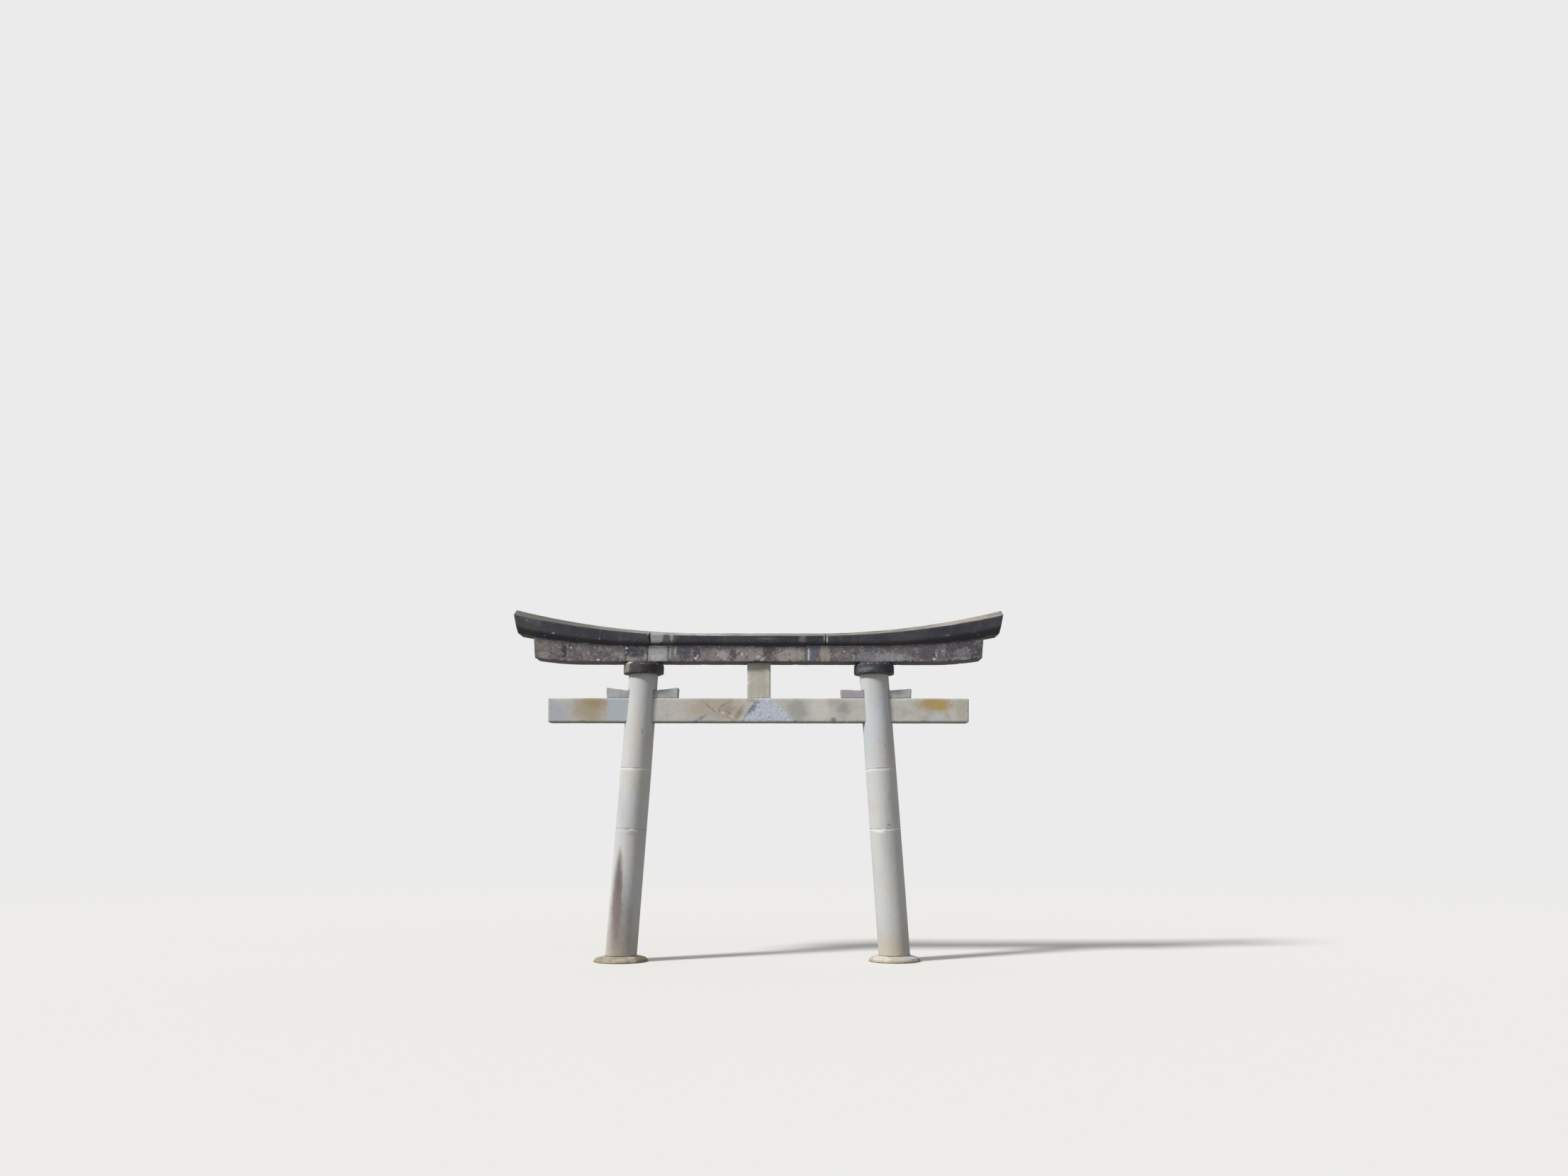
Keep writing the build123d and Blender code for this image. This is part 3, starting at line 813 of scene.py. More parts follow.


# Cap rings: dressed granite, dark grey-brown, made nearly black with the lintel's cast shadow painted into
# the colour
capRing = {
    # darkened with painted shadow of the lintel
    "tone": "#322f34",
    "crystals": (4, "#3c393c", "#8f8b86"),
    "pale": cloud("#625d5b", 90, (0.52, 0.64), 0.55, shift=1.0, detail=5.0, lace=0.7),
    "dark": cloud("#29262c", 70, (0.55, 0.7), 0.8, shift=4.0),
    "crust": cloud("#98938b", 40, (0.5, 0.62), 0.7),
    "surface": (0.9, 2.0),
    "voxel": 0.0080,
    "wear": {"Hollow Depth": 0.0030, "Hollow Size": 0.14, "Tooling Depth": 0.0012, "Tooling Size": 0.04,
             "Arris Radius": 0.013, "Chip Depth": 0.010, "Chip Reach": 0.04, "Chip Size": 0.10,
             "Chip Start": 0.56},
    "face": -0.20,
    "depth": 0.24,
    "marks": {
        "left_cap_ring": [
            mark("#37312f", (-1.68, 3.90), (0.16, 0.12), most=0.8),
            # painted highlight on the side that faces the light
            mark("#7d766f", (-1.86, 3.91), (0.11, 0.13), grain=35, ragged=0.5, most=0.85),
            mark("#a39e95", (-1.80, 3.978), (0.08, 0.03), grain=35, ragged=0.7),
            # painted shade on the side turned away from the light
            mark("#232029", (-1.50, 3.92), (0.17, 0.12), most=0.9),
        ],
        "right_cap_ring": [
            mark("#30343a", (1.54, 3.91), (0.20, 0.14), most=0.85),
            # painted highlight on the lit lower left
            mark("#63666a", (1.49, 3.88), (0.15, 0.045), grain=28, ragged=1.1, edge=0.8, most=0.85),
            # painted shade on the half turned away from the light
            mark("#262832", (1.80, 3.92), (0.18, 0.12), most=0.9),
        ],
    },
}


def ringFinish(node):
    finish = Finish(node + "_stainedShadowedGranite", capRing["tone"])
    finish.crystals(*capRing["crystals"])
    for name in ("pale", "dark"):
        layCloud(finish, capRing[name])
    layMarks(finish, capRing, node)
    layCloud(finish, capRing["crust"], finish.measured("arrisDistance", low=16, high=4))
    return finish.close(*capRing["surface"])


# Tie beam, strut and wedges: fine dressed granite with ochre lichen, brown veins and rough hewn places
tieBeam = {
    "tone": "#b6b3ab",
    "crystals": (4, "#8e8c87", "#c9c7c0"),
    "cool": cloud("#b1b4b7", 500, (0.45, 0.62), 0.6, shift=2.0),
    "grey": cloud("#a09d97", 140, (0.48, 0.68), 0.7, shift=5.0, detail=5.0),
    "under": "#716b62",
    "line": "#75685b",
    "lineWidth": 0.016,
    "lineMost": 0.60,
    "lineWander": 0.024,
    "lines": {
        "tie_beam": [(-0.70, 3.385, 0.15, 39), (-0.62, 3.325, 0.07, 42), (-0.545, 3.33, 0.050, 84),
                     (-0.515, 3.38, 0.045, -40), (-0.455, 3.405, 0.060, -28), (-0.40, 3.445, 0.055, -50),
                     (-0.41, 3.288, 0.065, 38), (-0.425, 3.235, 0.045, 66), (-0.785, 3.225, 0.045, -42)],
    },
    "hewn": mark("#b4bac5", (0.12, 3.3), (0.6, 0.4), ragged=0.1),
    # painted shade in the pits of the rough hewn place
    "hewnPitShade": cloud("#8b909b", 50, (0.50, 0.68), 0.45, shift=3.0, detail=6.0, lace=0.6),
    # painted shadow along the left border of the rough hewn place
    "hewnEdgeShadow": mark("#666c7b", (-0.150, 3.33), (0.25, 0.085), turn=-36, ragged=1.1,
                  grain=25, edge=0.7, most=0.9),
    # painted shade in small pits of the rough hewn place
    "spot": "#7c828f",
    "spots": {
        "tie_beam": [(0.158, 3.366, 0.016), (0.146, 3.236, 0.012), (0.175, 3.214, 0.018),
                     (0.267, 3.370, 0.014), (-0.032, 3.200, 0.014), (0.053, 3.197, 0.014),
                     (0.09, 3.43, 0.015), (-0.02, 3.30, 0.013)],
    },
    "surface": (0.86, 1.0),
    "voxel": 0.0100,
    "wear": {"Hollow Depth": 0.0014, "Hollow Size": 0.25, "Tooling Depth": 0.0006, "Tooling Size": 0.05,
             "Arris Radius": 0.009, "Chip Depth": 0.006, "Chip Reach": 0.03, "Chip Size": 0.09,
             "Chip Start": 0.62, "Rough Depth": 0.0055, "Rough Size": 0.040},
    "face": -0.115,
    "depth": 0.12,
    "marks": {
        "tie_beam": [
            mark("#a2a6ad", (-2.82, 3.28), (0.32, 0.22), edge=0.7, most=0.95),
            mark("#9b9077", (-2.32, 3.36), (0.34, 0.32), edge=0.7, ragged=0.4, grain=170, most=0.9),
            mark("#968363", (-2.24, 3.42), (0.24, 0.12), edge=0.9, most=0.7),
            mark("#a7acb5", (-1.93, 3.32), (0.19, 0.32), edge=0.5, ragged=0.3, grain=150, most=0.95),
            mark("#a89d8f", (-0.62, 3.36), (0.52, 0.26), edge=0.6, most=0.85),
            mark("#ada9a6", (-0.80, 3.20), (0.30, 0.08), edge=0.6, most=0.8),
            mark("#8e8173", (-0.43, 3.32), (0.16, 0.13), edge=0.9, grain=70, ragged=0.7, most=0.6),
            mark("#c4b7a8", (-0.49, 3.285), (0.040, 0.024), grain=35, ragged=0.9, most=0.8),
            mark("#bfb2a3", (-0.37, 3.24), (0.035, 0.022), grain=35, ragged=0.9, most=0.8),
            mark("#857767", (-0.27, 3.28), (0.16, 0.06), turn=-58, edge=0.9, grain=60, ragged=0.7,
                 most=0.85),
            mark("#96897a", (-0.10, 3.46), (0.11, 0.04), edge=0.9, ragged=0.7, grain=60, most=0.7),
            mark("#85838a", (-0.80, 3.21), (0.13, 0.035), turn=-30, grain=35, ragged=1.0, most=0.6),
            mark("#96958f", (0.53, 3.33), (0.20, 0.26), edge=0.8, most=0.85),
            mark("#c2beb4", (0.84, 3.33), (0.16, 0.24), edge=0.5, most=0.85),
            mark("#96938f", (1.16, 3.35), (0.17, 0.18), edge=0.9, ragged=0.7, most=0.9),
            mark("#7b6a55", (1.03, 3.195), (0.055, 0.045), edge=0.7, most=0.8),
            mark("#9f8a58", (2.42, 3.41), (0.36, 0.16), edge=0.7, ragged=0.4, most=0.9),
            mark("#a98d46", (2.50, 3.39), (0.14, 0.085), turn=25, edge=0.8, grain=60, most=0.9),
            mark("#a7a093", (2.80, 3.33), (0.10, 0.24), edge=0.5, most=0.8),
        ],
    },
    "rough": {
        "tie_beam": {"top": 3.49, "left": (-0.03, 0.66), "right": (0.196, 0.91), "front": -0.10,
                     "spot": (1.167, 3.293), "spotReach": 0.12, "spotShare": 0.16},
    },
}


def tieFinish(node):
    finish = Finish(node + "_fineGranite", tieBeam["tone"])
    finish.crystals(*tieBeam["crystals"])
    for name in ("cool", "grey"):
        layCloud(finish, tieBeam[name])
    layMarks(finish, tieBeam, node)
    layLines(finish, tieBeam, node)
    if node == "tie_beam":
        hill = finish.measured("roughPlace", low=25, high=75, ragged=90)
        layMark(finish, tieBeam, tieBeam["hewn"], hill)
        layCloud(finish, tieBeam["hewnPitShade"], hill)
        layMark(finish, tieBeam, tieBeam["hewnEdgeShadow"], hill)
        laySpots(finish, tieBeam, node)
    finish.lay(tieBeam["under"], finish.facing(low=-0.6, high=-0.95, most=0.8))
    return finish.close(*tieBeam["surface"])


strut = {
    "tone": "#b1ada2",
    "crystals": (4, "#8d8a82", "#c9c6bc"),
    "streak": cloud("#a09b91", 60, (0.45, 0.7), 0.7, stretch=(1, 1, 0.08), shift=3.0),
    "pale": cloud("#bdb9ae", 180, (0.45, 0.6), 0.7, shift=6.0),
    "surface": (0.88, 1.0),
    "voxel": 0.0075,
    "wear": {"Hollow Depth": 0.0014, "Hollow Size": 0.20, "Tooling Depth": 0.0006, "Tooling Size": 0.04,
             "Arris Radius": 0.009, "Chip Depth": 0.006, "Chip Reach": 0.03, "Chip Size": 0.07,
             "Chip Start": 0.62},
}


def strutFinish(node):
    finish = Finish(node + "_combedGranite", strut["tone"])
    finish.crystals(*strut["crystals"])
    for name in ("pale", "streak"):
        layCloud(finish, strut[name])
    # darker towards the lintel above
    darkerUnderLedge = finish.measured("shelterDistance", low=260, high=60, most=0.6, ragged=60)
    finish.lay(tieBeam["grey"]["colour"], darkerUnderLedge)
    return finish.close(*strut["surface"])


wedge = {
    "tone": "#a5a7a7",
    "crystals": (4, "#858382", "#c2c0bb"),
    "mauve": "#95929a",
    "surface": (0.88, 1.0),
    "voxel": 0.0065,
    "wear": {"Hollow Depth": 0.0014, "Hollow Size": 0.15, "Tooling Depth": 0.0008, "Tooling Size": 0.04,
             "Arris Radius": 0.009, "Chip Depth": 0.006, "Chip Reach": 0.025, "Chip Size": 0.06,
             "Chip Start": 0.60},
}


def wedgeFinish(node):
    finish = Finish(node + "_wedgeGranite", wedge["tone"])
    finish.crystals(*wedge["crystals"])
    finish.lay(wedge["mauve"], finish.clouds(size=240, edges=(0.44, 0.6), most=0.8, shift=len(node)))
    finish.lay(tieBeam["under"], finish.measured("arrisDistance", low=14, high=0, most=0.35))
    return finish.close(*wedge["surface"])


# Lower lintel: mauve grey granite, clouded with pale lichen, with dark runs and a brown underside
lowerLintel = {
    "tone": "#59565c",
    "crystals": (4, "#453f44", "#9d968f"),
    "brown": cloud("#665e5b", 420, (0.46, 0.6), 0.8, shift=2.0),
    "pale": cloud("#7e7a77", 90, (0.50, 0.60), 0.9, shift=6.0, detail=6.0, lace=0.72),
    "dark": cloud("#3d3a42", 200, (0.50, 0.62), 0.8, stretch=(1, 1, 0.45), shift=4.0),
    "fleck": cloud("#3d3a42", 36, (0.55, 0.65), 0.6, shift=9.1, detail=6.0, lace=0.7),
    "run": cloud("#3e3b42", 110, (0.54, 0.72), 0.45, stretch=(1, 1, 0.25), shift=8.0, detail=5.0),
    "lichen": cloud("#8e8c8c", 42, (0.54, 0.63), 0.85, shift=3.3, detail=6.0, lace=0.75),
    "spot": "#cdc9c1",
    # painted shadow of the upper lintel, with dirt, along the top of this stone
    "contactShadowAndDirt": "#2d2a32",
    "under": "#3b342c",
    "arris": cloud("#827d77", 80, (0.42, 0.58), 0.9),
    "surface": (0.92, 2.0),
    "voxel": 0.0092,
    "wear": {"Hollow Depth": 0.0028, "Hollow Size": 0.22, "Tooling Depth": 0.0014, "Tooling Size": 0.05,
             "Arris Radius": 0.012, "Chip Depth": 0.010, "Chip Reach": 0.035, "Chip Size": 0.10,
             "Chip Start": 0.60},
    "face": -0.175,
    "depth": 0.18,
    "marks": {
        "lower_lintel_left": [
            mark("#716863", (-2.93, 4.14), (0.22, 0.16), ragged=0.7, most=0.85),
            mark("#86827d", (-2.98, 4.07), (0.10, 0.06), ragged=0.9, grain=45, most=0.8),
            mark("#342f38", (-2.69, 4.13), (0.045, 0.14), ragged=0.4, grain=60, most=0.95),
            mark("#675d5a", (-2.52, 4.09), (0.13, 0.10), ragged=0.8, grain=60, most=0.85),
            mark("#908a88", (-2.36, 4.08), (0.022, 0.08), ragged=0.8, grain=35, most=0.8),
            mark("#5a5456", (-2.18, 4.06), (0.20, 0.10), ragged=0.8, grain=70, most=0.7),
            mark("#7c7871", (-1.98, 4.09), (0.12, 0.014), turn=-24, ragged=0.8, grain=45, most=0.8),
            mark("#999493", (-1.90, 4.05), (0.04, 0.05), ragged=0.9, grain=30, most=0.9),
            mark("#3a3744", (-1.71, 4.13), (0.17, 0.12), ragged=0.4, grain=70, most=0.9),
            mark("#908c8c", (-1.75, 4.02), (0.13, 0.035), ragged=1.0, grain=35, most=0.9),
            mark("#8e8989", (-1.57, 4.05), (0.04, 0.06), ragged=0.9, grain=40, most=0.8),
        ],
        "lower_lintel_middle": [
            mark("#999a97", (-1.40, 4.08), (0.155, 0.26), ragged=0.25, edge=0.3, grain=70),
            mark("#acadae", (-1.42, 4.05), (0.11, 0.06), ragged=0.9, grain=45, most=0.8),
            mark("#46424b", (-1.262, 4.09), (0.006, 0.13), ragged=0.5, grain=30, most=0.8),
            mark("#a9a8a8", (-1.225, 4.11), (0.018, 0.12), edge=0.9, ragged=0.9, grain=30, most=0.75),
            mark("#a9a8a8", (-1.155, 4.12), (0.026, 0.09), ragged=0.9, grain=30, most=0.75),
            mark("#4c4753", (-1.03, 4.13), (0.11, 0.13), ragged=0.5, grain=50, most=0.85),
            mark("#807979", (-0.62, 4.07), (0.24, 0.10), ragged=0.9, grain=50, most=0.75),
            mark("#8c8380", (-0.18, 4.07), (0.34, 0.15), ragged=0.7, grain=60, most=0.85),
            mark("#968f8a", (0.42, 4.08), (0.26, 0.13), ragged=0.7, grain=50, most=0.85),
            mark("#a09b97", (-0.51, 4.09), (0.11, 0.07), ragged=0.9, grain=40, most=0.85),
            mark("#47434e", (-0.36, 4.08), (0.06, 0.12), ragged=0.7, grain=45, most=0.85),
            mark("#b9b8b9", (-0.235, 4.10), (0.016, 0.055), turn=-14, ragged=0.7, grain=25, most=0.9),
            mark("#b5b4b5", (-0.170, 4.09), (0.013, 0.050), turn=-20, ragged=0.7, grain=25, most=0.85),
            mark("#b5b3b0", (0.020, 4.035), (0.075, 0.032), turn=15, ragged=1.0, grain=30, most=0.8),
            mark("#4c4750", (0.12, 4.08), (0.030, 0.10), turn=-30, ragged=0.8, grain=30, most=0.75),
        ],
        "lower_lintel_right": [
            mark("#555b66", (0.765, 4.10), (0.060, 0.24), ragged=0.2, grain=60, edge=0.3, most=0.95),
            mark("#b5b8bb", (0.69, 4.09), (0.016, 0.13), ragged=0.5, grain=40),
            mark("#928c85", (0.915, 4.08), (0.085, 0.26), ragged=0.25, grain=60, edge=0.35, most=0.9),
            mark("#39353b", (1.002, 4.09), (0.005, 0.14), ragged=0.3, grain=30, most=0.8),
            mark("#78757a", (1.66, 4.05), (0.46, 0.09), ragged=0.9, grain=60, most=0.85),
            mark("#8a8889", (1.86, 4.05), (0.30, 0.07), ragged=1.0, grain=40, most=0.85),
            mark("#49454f", (2.33, 4.10), (0.22, 0.14), ragged=0.6, grain=80, most=0.8),
            mark("#37333a", (2.90, 4.13), (0.35, 0.22), ragged=0.8, grain=70, most=0.8),
            mark("#a9a9ab", (2.46, 4.08), (0.012, 0.06), turn=-12, ragged=0.7, grain=25, most=0.85),
            mark("#77777e", (2.83, 4.11), (0.15, 0.09), ragged=1.6, grain=32, most=0.65),
            mark("#8c8a81", (2.80, 4.04), (0.15, 0.025), ragged=1.0, grain=32, most=0.6),
        ],
    },
    "spots": {
        "lower_lintel_left": [(-1.83, 4.175, 0.028), (-2.22, 4.01, 0.03), (-2.60, 4.18, 0.016),
                              (-2.27, 4.18, 0.012)],
        "lower_lintel_middle": [(-0.872, 4.035, 0.034), (-0.845, 4.065, 0.02), (-0.47, 4.02, 0.02)],
        "lower_lintel_right": [(1.18, 4.13, 0.016), (2.428, 4.027, 0.03)],
    },
    "line": "#474147",
    "lineWidth": 0.013,
    "lineMost": 0.85,
    "lineWander": 0.018,
    "lines": {
        "lower_lintel_middle": [(-0.60, 4.08, 0.07, -52), (-0.345, 4.05, 0.075, 48),
                                (-0.27, 4.10, 0.11, -44), (-0.07, 4.14, 0.08, 35), (0.045, 4.05, 0.10, -30),
                                (0.10, 4.10, 0.05, 70), (0.20, 4.09, 0.09, -36), (0.31, 4.13, 0.08, -22),
                                (-0.16, 4.05, 0.05, -60)],
        "lower_lintel_right": [(1.40, 4.06, 0.035, -35), (1.62, 4.12, 0.04, -20), (2.02, 4.05, 0.05, 30)],
        "lower_lintel_left": [(-2.86, 4.10, 0.06, 30), (-2.47, 4.08, 0.07, -48), (-2.08, 4.09, 0.06, 40)],
    },
    "closing": 0.0013,           # how far the ends reach into their joints, full of dust and lichen
}


def lowerFinish(node):
    finish = Finish(node + "_cloudedGranite", lowerLintel["tone"])
    finish.crystals(*lowerLintel["crystals"])
    for name in ("brown", "dark", "pale"):
        layCloud(finish, lowerLintel[name])
    layMarks(finish, lowerLintel, node)
    layLines(finish, lowerLintel, node)
    for name in ("run", "lichen", "fleck"):
        layCloud(finish, lowerLintel[name])
    # painted shadow with dirt: dark where the upper lintel lies just above
    darkerUnderLedge = finish.measured("shelterDistance", low=120, high=20, most=0.8, ragged=60)
    finish.lay(lowerLintel["contactShadowAndDirt"], darkerUnderLedge)
    laySpots(finish, lowerLintel, node)
    finish.lay(lowerLintel["spot"], finish.flecks(spacing=55, radius=9, share=0.25, most=0.8, shift=1.0),
               finish.measured("arrisDistance", low=60, high=20))
    # paler arrises where nothing lies close above: worn arrises with a painted highlight
    wornAndHighlight = addNode(finish.tree, "ShaderNodeMath", {"operation": "MULTIPLY"},
                   {0: finish.measured("arrisDistance", low=15, high=3),
                    1: finish.measured("shelterDistance", low=40, high=120)})
    layCloud(finish, lowerLintel["arris"], wornAndHighlight.outputs[0])
    finish.lay(lowerLintel["under"], finish.facing(low=-0.5, high=-0.9, most=0.9))
    return finish.close(*lowerLintel["surface"])


# Upper lintel: the most exposed stone, dark with old lichen and darker still with painted shade on its face,
# which leans out; its sloping top bleached
upperLintel = {
    # dark lichen, darkened further with painted shade
    "tone": "#3b3a41",
    "crystals": (4, "#29282d", "#626068"),
    "slate": cloud("#302f38", 520, (0.44, 0.6), 0.9, shift=2.0),
    "olive": cloud("#48473f", 300, (0.55, 0.7), 0.5, shift=5.0),
    "pale": cloud("#545259", 90, (0.50, 0.68), 0.6, stretch=(1, 1, 0.4), shift=7.0, detail=6.0, lace=0.68),
    "top": "#7f7a74",
    "topDark": cloud("#59554f", 300, (0.46, 0.66), 0.6, shift=5.0, detail=5.0, lace=0.65),
    "topFleck": cloud("#59554f", 28, (0.50, 0.66), 0.6, shift=1.0, detail=6.0, lace=0.75),
    "shade": "#232228",
    "under": "#37332f",
    "spot": "#a9a7a5",
    "surface": (0.92, 2.0),
    "voxel": 0.0092,
    "wear": {"Hollow Depth": 0.0028, "Hollow Size": 0.25, "Tooling Depth": 0.0014, "Tooling Size": 0.05,
             "Arris Radius": 0.014, "Chip Depth": 0.008, "Chip Reach": 0.030, "Chip Size": 0.11,
             "Chip Start": 0.74},
    "face": -0.21,
    "depth": 0.18,
    "marks": {
        "upper_lintel_left": [
            mark("#4d4c45", (-3.22, 4.40), (0.16, 0.14), edge=0.8, most=0.8),
            mark("#59585d", (-3.15, 4.56), (0.24, 0.08), turn=20, edge=0.8, most=0.7),
            mark("#211f25", (-1.517, 4.33), (0.012, 0.11), ragged=0.8, grain=28),
            mark("#8c8a88", (-1.535, 4.37), (0.014, 0.05), ragged=0.9, grain=25, most=0.7),
        ],
        "upper_lintel_middle": [
            mark("#5d5b5e", (-1.26, 4.33), (0.16, 0.16), ragged=0.4, edge=0.4, most=0.9),
            mark("#99989d", (-1.42, 4.35), (0.115, 0.15), ragged=0.3, edge=0.3, grain=50),
            mark("#a5a4a5", (-1.44, 4.38), (0.07, 0.05), ragged=0.7, grain=35, most=0.8),
            mark("#98969a", (-1.21, 4.33), (0.03, 0.08), ragged=0.9, grain=30, most=0.85),
            mark("#1f1d23", (-1.505, 4.33), (0.010, 0.11), ragged=0.8, grain=28),
            mark("#6e6b6c", (0.60, 4.31), (0.06, 0.09), ragged=0.9, grain=32, most=0.8),
            mark("#75777c", (0.10, 4.30), (0.16, 0.010), ragged=0.9, grain=40, most=0.7),
            mark("#2b2a32", (0.78, 4.33), (0.12, 0.14), ragged=0.4, most=0.7),
            mark("#b3b1b0", (0.905, 4.33), (0.007, 0.09), ragged=0.8, grain=30, most=0.9),
        ],
        "upper_lintel_right": [
            mark("#b5b2ae", (0.945, 4.29), (0.014, 0.06), ragged=0.9, grain=25),
            mark("#42414b", (1.95, 4.36), (0.60, 0.10), edge=0.9, most=0.5),
        ],
    },
    "spots": {
        "upper_lintel_left": [(-3.210, 4.547, 0.022), (-2.843, 4.372, 0.026), (-2.964, 4.347, 0.020),
                              (-2.202, 4.301, 0.017), (-2.517, 4.294, 0.014), (-2.26, 4.446, 0.018)],
        "upper_lintel_right": [(3.043, 4.363, 0.020), (2.618, 4.351, 0.014), (1.80, 4.40, 0.012)],
    },
    "roof": {
        "face": 0,
        "depth": 1.0,
        "marks": [
            mark("#4a4640", (-2.95, 4.6), (1.05, 0.6), grain=220, edge=0.8, most=0.85),    # brown
            mark("#a2a2a6", (-0.75, 4.5), (1.15, 0.6), grain=220, edge=0.8, most=0.85),    # bleached
            mark("#969088", (2.60, 4.6), (1.20, 0.7), grain=220, edge=0.8, most=0.85),     # speckled
        ],
    },
    "scars": {"upper_lintel_left": [((-1.513, -0.2, 4.39), (0.020, 0.12, 0.030), 10.0),
                                    ((-1.516, -0.2, 4.31), (0.016, 0.12, 0.025), 9.0)],
              "upper_lintel_middle": [((-1.507, -0.2, 4.35), (0.018, 0.12, 0.028), 10.0),
                                      ((-1.507, -0.2, 4.27), (0.020, 0.12, 0.020), 10.0)],
              "upper_lintel_right": [((0.925, -0.2, 4.38), (0.02, 0.12, 0.08), 10.0)]},
}


def upperFinish(node):
    finish = Finish(node + "_darkGranite", upperLintel["tone"])
    finish.crystals(*upperLintel["crystals"])
    for name in ("slate", "olive", "pale"):
        layCloud(finish, upperLintel[name])
    layMarks(finish, upperLintel, node)
    laySpots(finish, upperLintel, node)
    finish.lay(upperLintel["spot"], finish.flecks(spacing=120, radius=7, share=0.16, most=0.7, shift=9.0))
    # painted shade on the bevel under the face, which looks downwards
    finish.lay(upperLintel["shade"], finish.facing(low=-0.4, high=-0.6, most=0.6))
    finish.lay(upperLintel["under"], finish.facing(low=-0.75, high=-0.95, most=0.9))
    roof = finish.facing(low=0.15, high=0.6)
    finish.lay(upperLintel["top"], roof)
    for part in upperLintel["roof"]["marks"]:
        layMark(finish, upperLintel["roof"], part, roof)
    layCloud(finish, upperLintel["topDark"], roof)
    layCloud(finish, upperLintel["topFleck"], roof)
    return finish.close(*upperLintel["surface"])


# Every stone, with how it is worn and finished
families = {
    "column_stone": (column, columnFinish),
    "base_stone": (baseStone, baseFinish),
    "cap_ring_stone": (capRing, ringFinish),
    "tie_beam_stone": (tieBeam, tieFinish),
    "lower_lintel_stone": (lowerLintel, lowerFinish),
    "upper_lintel_stone": (upperLintel, upperFinish),
}
scene = bpy.context.scene
wearTree = weatheringTree()
for number, node in enumerate(sorted(cadNodes)):
    slot = slotOf[node]
    if slot == "mortar":
        piece = mortarBead(node)
    else:
        values, makeFinish = families[slot]
        if node.startswith("wedge"):
            values, makeFinish = wedge, wedgeFinish
        elif node == "centre_strut":
            values, makeFinish = strut, strutFinish
        piece = evenCopy(node, values["voxel"] * (1),
                         values.get("closing", 0))
        carve(piece.data, values, node)
        wear(piece, wearTree, {**values["wear"], "Seed": float(number)}, makeFinish(node))
    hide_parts(node)
    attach(piece, "root")
    print("stone", node, len(piece.data.vertices), "points")


# Studio: a pale floor that runs into a pale backdrop, a broad lamp from the left and even light all round
studio = {
    "floor": "#d2d1ce",
    "floorReach": 150.0,
    "floorShade": "#8a8988",     # what the floor throws back onto the stones
    "fade": (12.0, 45.0),        # metres from the gate over which the floor turns into the backdrop
    "backdrop": 0.83,
    "ambient": 0.50,
    "keyStrength": 4.0,
    "keyAngle": 10.0,            # width of the lamp in the sky, degrees
    "keyFrom": (60.0, 40.0),     # degrees to the left of the front, and above the ground
}


def seenDirectly(tree):
    # 1 for what the camera sees, also in a mirror or through glass, and 0 for light on the stones
    path = addNode(tree, "ShaderNodeLightPath")
    seen = path.outputs["Is Camera Ray"]
    for kind in ("Is Glossy Ray", "Is Transmission Ray"):
        seen = addNode(tree, "ShaderNodeMath", {"operation": "MAXIMUM"},
                       {0: seen, 1: path.outputs[kind]}).outputs[0]
    return seen


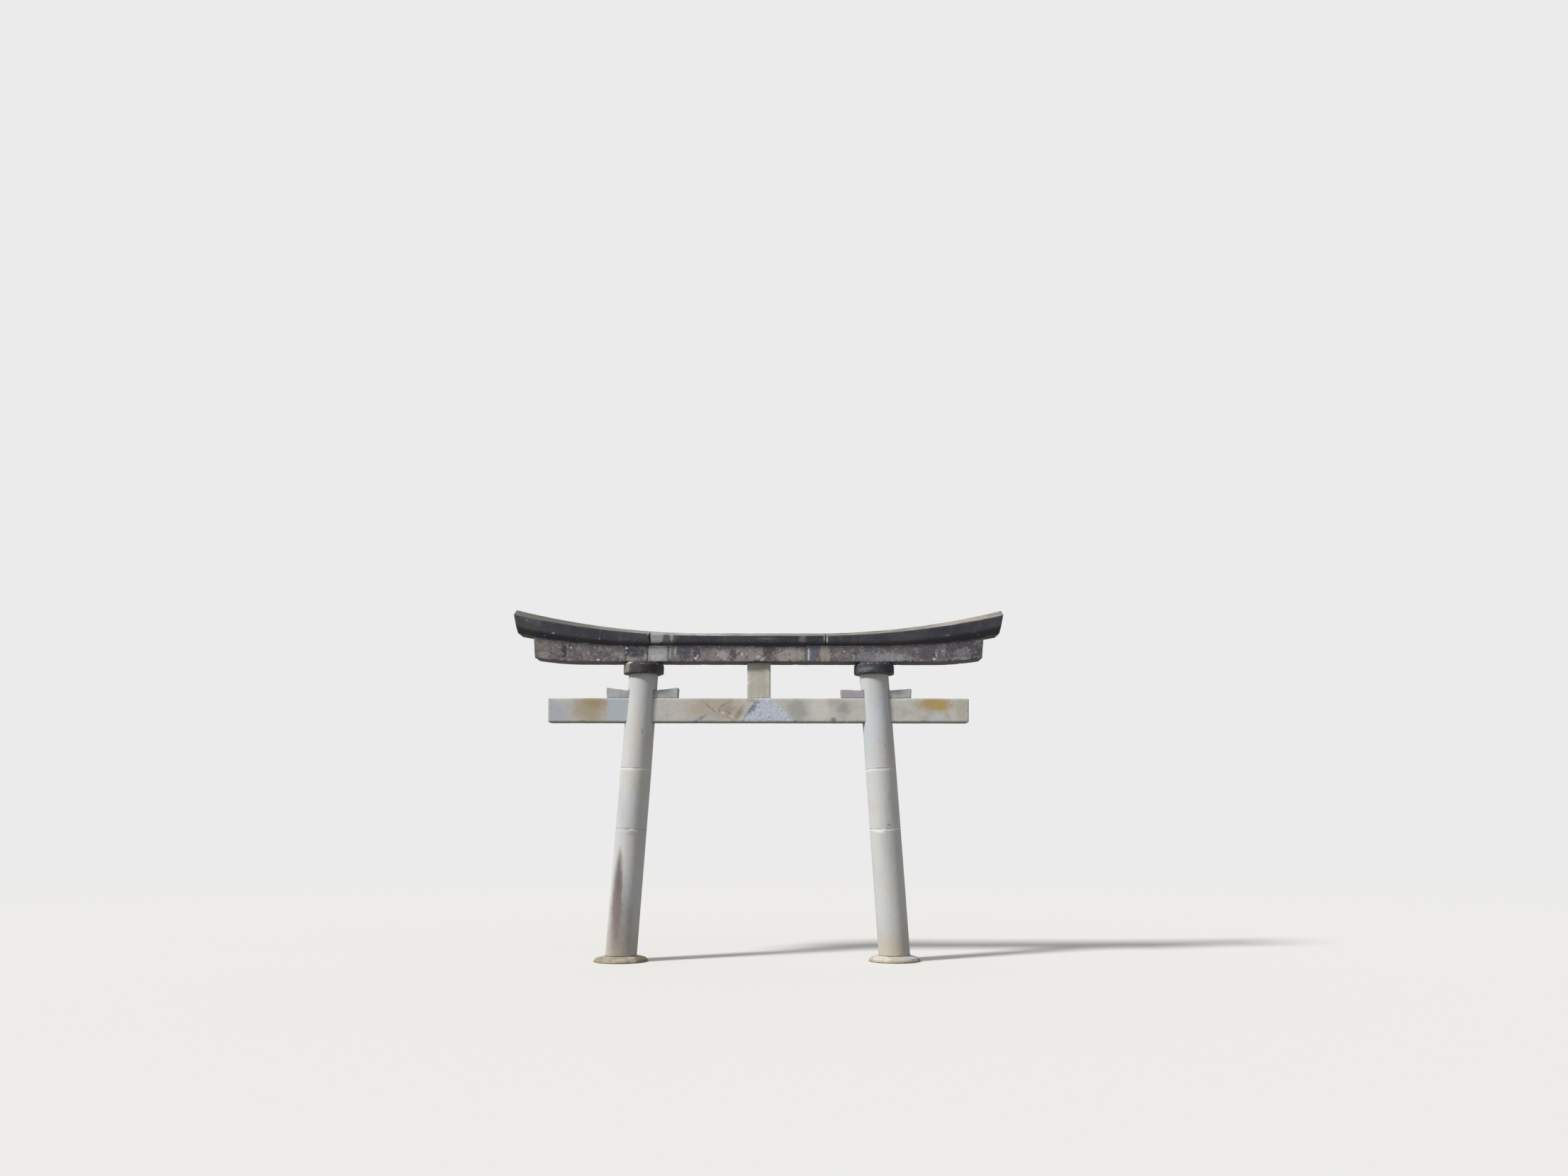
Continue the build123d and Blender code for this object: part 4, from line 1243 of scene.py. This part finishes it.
def buildFloor():
    mesh = bpy.data.meshes.new("floor")
    reach = studio["floorReach"]
    mesh.from_pydata([(-reach, -reach, 0), (reach, -reach, 0), (reach, reach, 0), (-reach, reach, 0)], [],
                     [(0, 1, 2, 3)])
    floor = bpy.data.objects.new("floor", mesh)
    scene.collection.objects.link(floor)
    material = bpy.data.materials.new("paleFloor")
    material.use_nodes = True
    tree = material.node_tree
    tree.nodes.clear()
    seen = seenDirectly(tree)
    colour = addNode(tree, "ShaderNodeMix",
                     {"data_type": "RGBA", 6: toLinear(studio["floorShade"]), 7: toLinear(studio["floor"])},
                     {0: seen})
    shader = addNode(tree, "ShaderNodeBsdfDiffuse", None, {"Color": colour.outputs[2]})
    coords = addNode(tree, "ShaderNodeTexCoord")
    away = addNode(tree, "ShaderNodeVectorMath", {"operation": "LENGTH"}, {0: coords.outputs["Object"]})
    fade = addNode(tree, "ShaderNodeMapRange",
                   {"interpolation_type": "SMOOTHSTEP", "From Min": studio["fade"][0],
                    "From Max": studio["fade"][1]},
                   {"Value": away.outputs["Value"]})
    cover = addNode(tree, "ShaderNodeMath", {"operation": "MULTIPLY"}, {0: fade.outputs[0], 1: seen})
    backdrop = addNode(tree, "ShaderNodeEmission", {"Strength": studio["backdrop"], "Color": (1, 1, 1, 1)})
    mix = addNode(tree, "ShaderNodeMixShader", None,
                  {0: cover.outputs[0], 1: shader.outputs[0], 2: backdrop.outputs[0]})
    out = addNode(tree, "ShaderNodeOutputMaterial")
    tree.links.new(mix.outputs[0], out.inputs[0])
    mesh.materials.append(material)


def buildKey():
    lamp = bpy.data.lights.new("key", "SUN")
    lamp.energy = studio["keyStrength"]
    lamp.angle = math.radians(studio["keyAngle"])
    key = bpy.data.objects.new("key", lamp)
    aside, above = (math.radians(angle) for angle in studio["keyFrom"])
    towards = Vector((-math.sin(aside) * math.cos(above), -math.cos(aside) * math.cos(above),
                      math.sin(above)))
    key.rotation_euler = towards.to_track_quat("Z", "Y").to_euler()
    scene.collection.objects.link(key)


def buildWorld():
    world = bpy.data.worlds.new("studio")
    world.use_nodes = True
    tree = world.node_tree
    tree.nodes.clear()
    light = addNode(tree, "ShaderNodeBackground", {"Strength": studio["ambient"], "Color": (1, 1, 1, 1)})
    backdrop = addNode(tree, "ShaderNodeBackground", {"Strength": studio["backdrop"], "Color": (1, 1, 1, 1)})
    mix = addNode(tree, "ShaderNodeMixShader", None,
                  {0: seenDirectly(tree), 1: light.outputs[0], 2: backdrop.outputs[0]})
    out = addNode(tree, "ShaderNodeOutputWorld")
    tree.links.new(mix.outputs[0], out.inputs[0])
    scene.world = world


# Camera, from the photograph's view of the gate
view = {
    "place": (0.22, -16.42, 1.697),
    "tilt": 11.583,          # degrees upwards
    "turn": -0.45,           # degrees, to the right
    "lens": 27.195,
    "sensor": 36.0,
    "farthest": 500.0,
}


def buildCamera():
    lens = bpy.data.cameras.new("camera")
    lens.lens = view["lens"]
    lens.sensor_width = view["sensor"]
    lens.clip_end = view["farthest"]
    camera = bpy.data.objects.new("camera", lens)
    camera.location = view["place"]
    camera.rotation_euler = (math.radians(90 + view["tilt"]), 0, math.radians(view["turn"]))
    scene.collection.objects.link(camera)
    scene.camera = camera


buildFloor()
buildKey()
buildWorld()
buildCamera()
scene.view_settings.view_transform = "Standard"
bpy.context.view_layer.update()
triangles = 0
for piece in bpy.data.objects:
    if piece.type == "MESH" and not piece.hide_render:
        piece.data.calc_loop_triangles()
        triangles += len(piece.data.loop_triangles)
print("triangles in all", triangles)
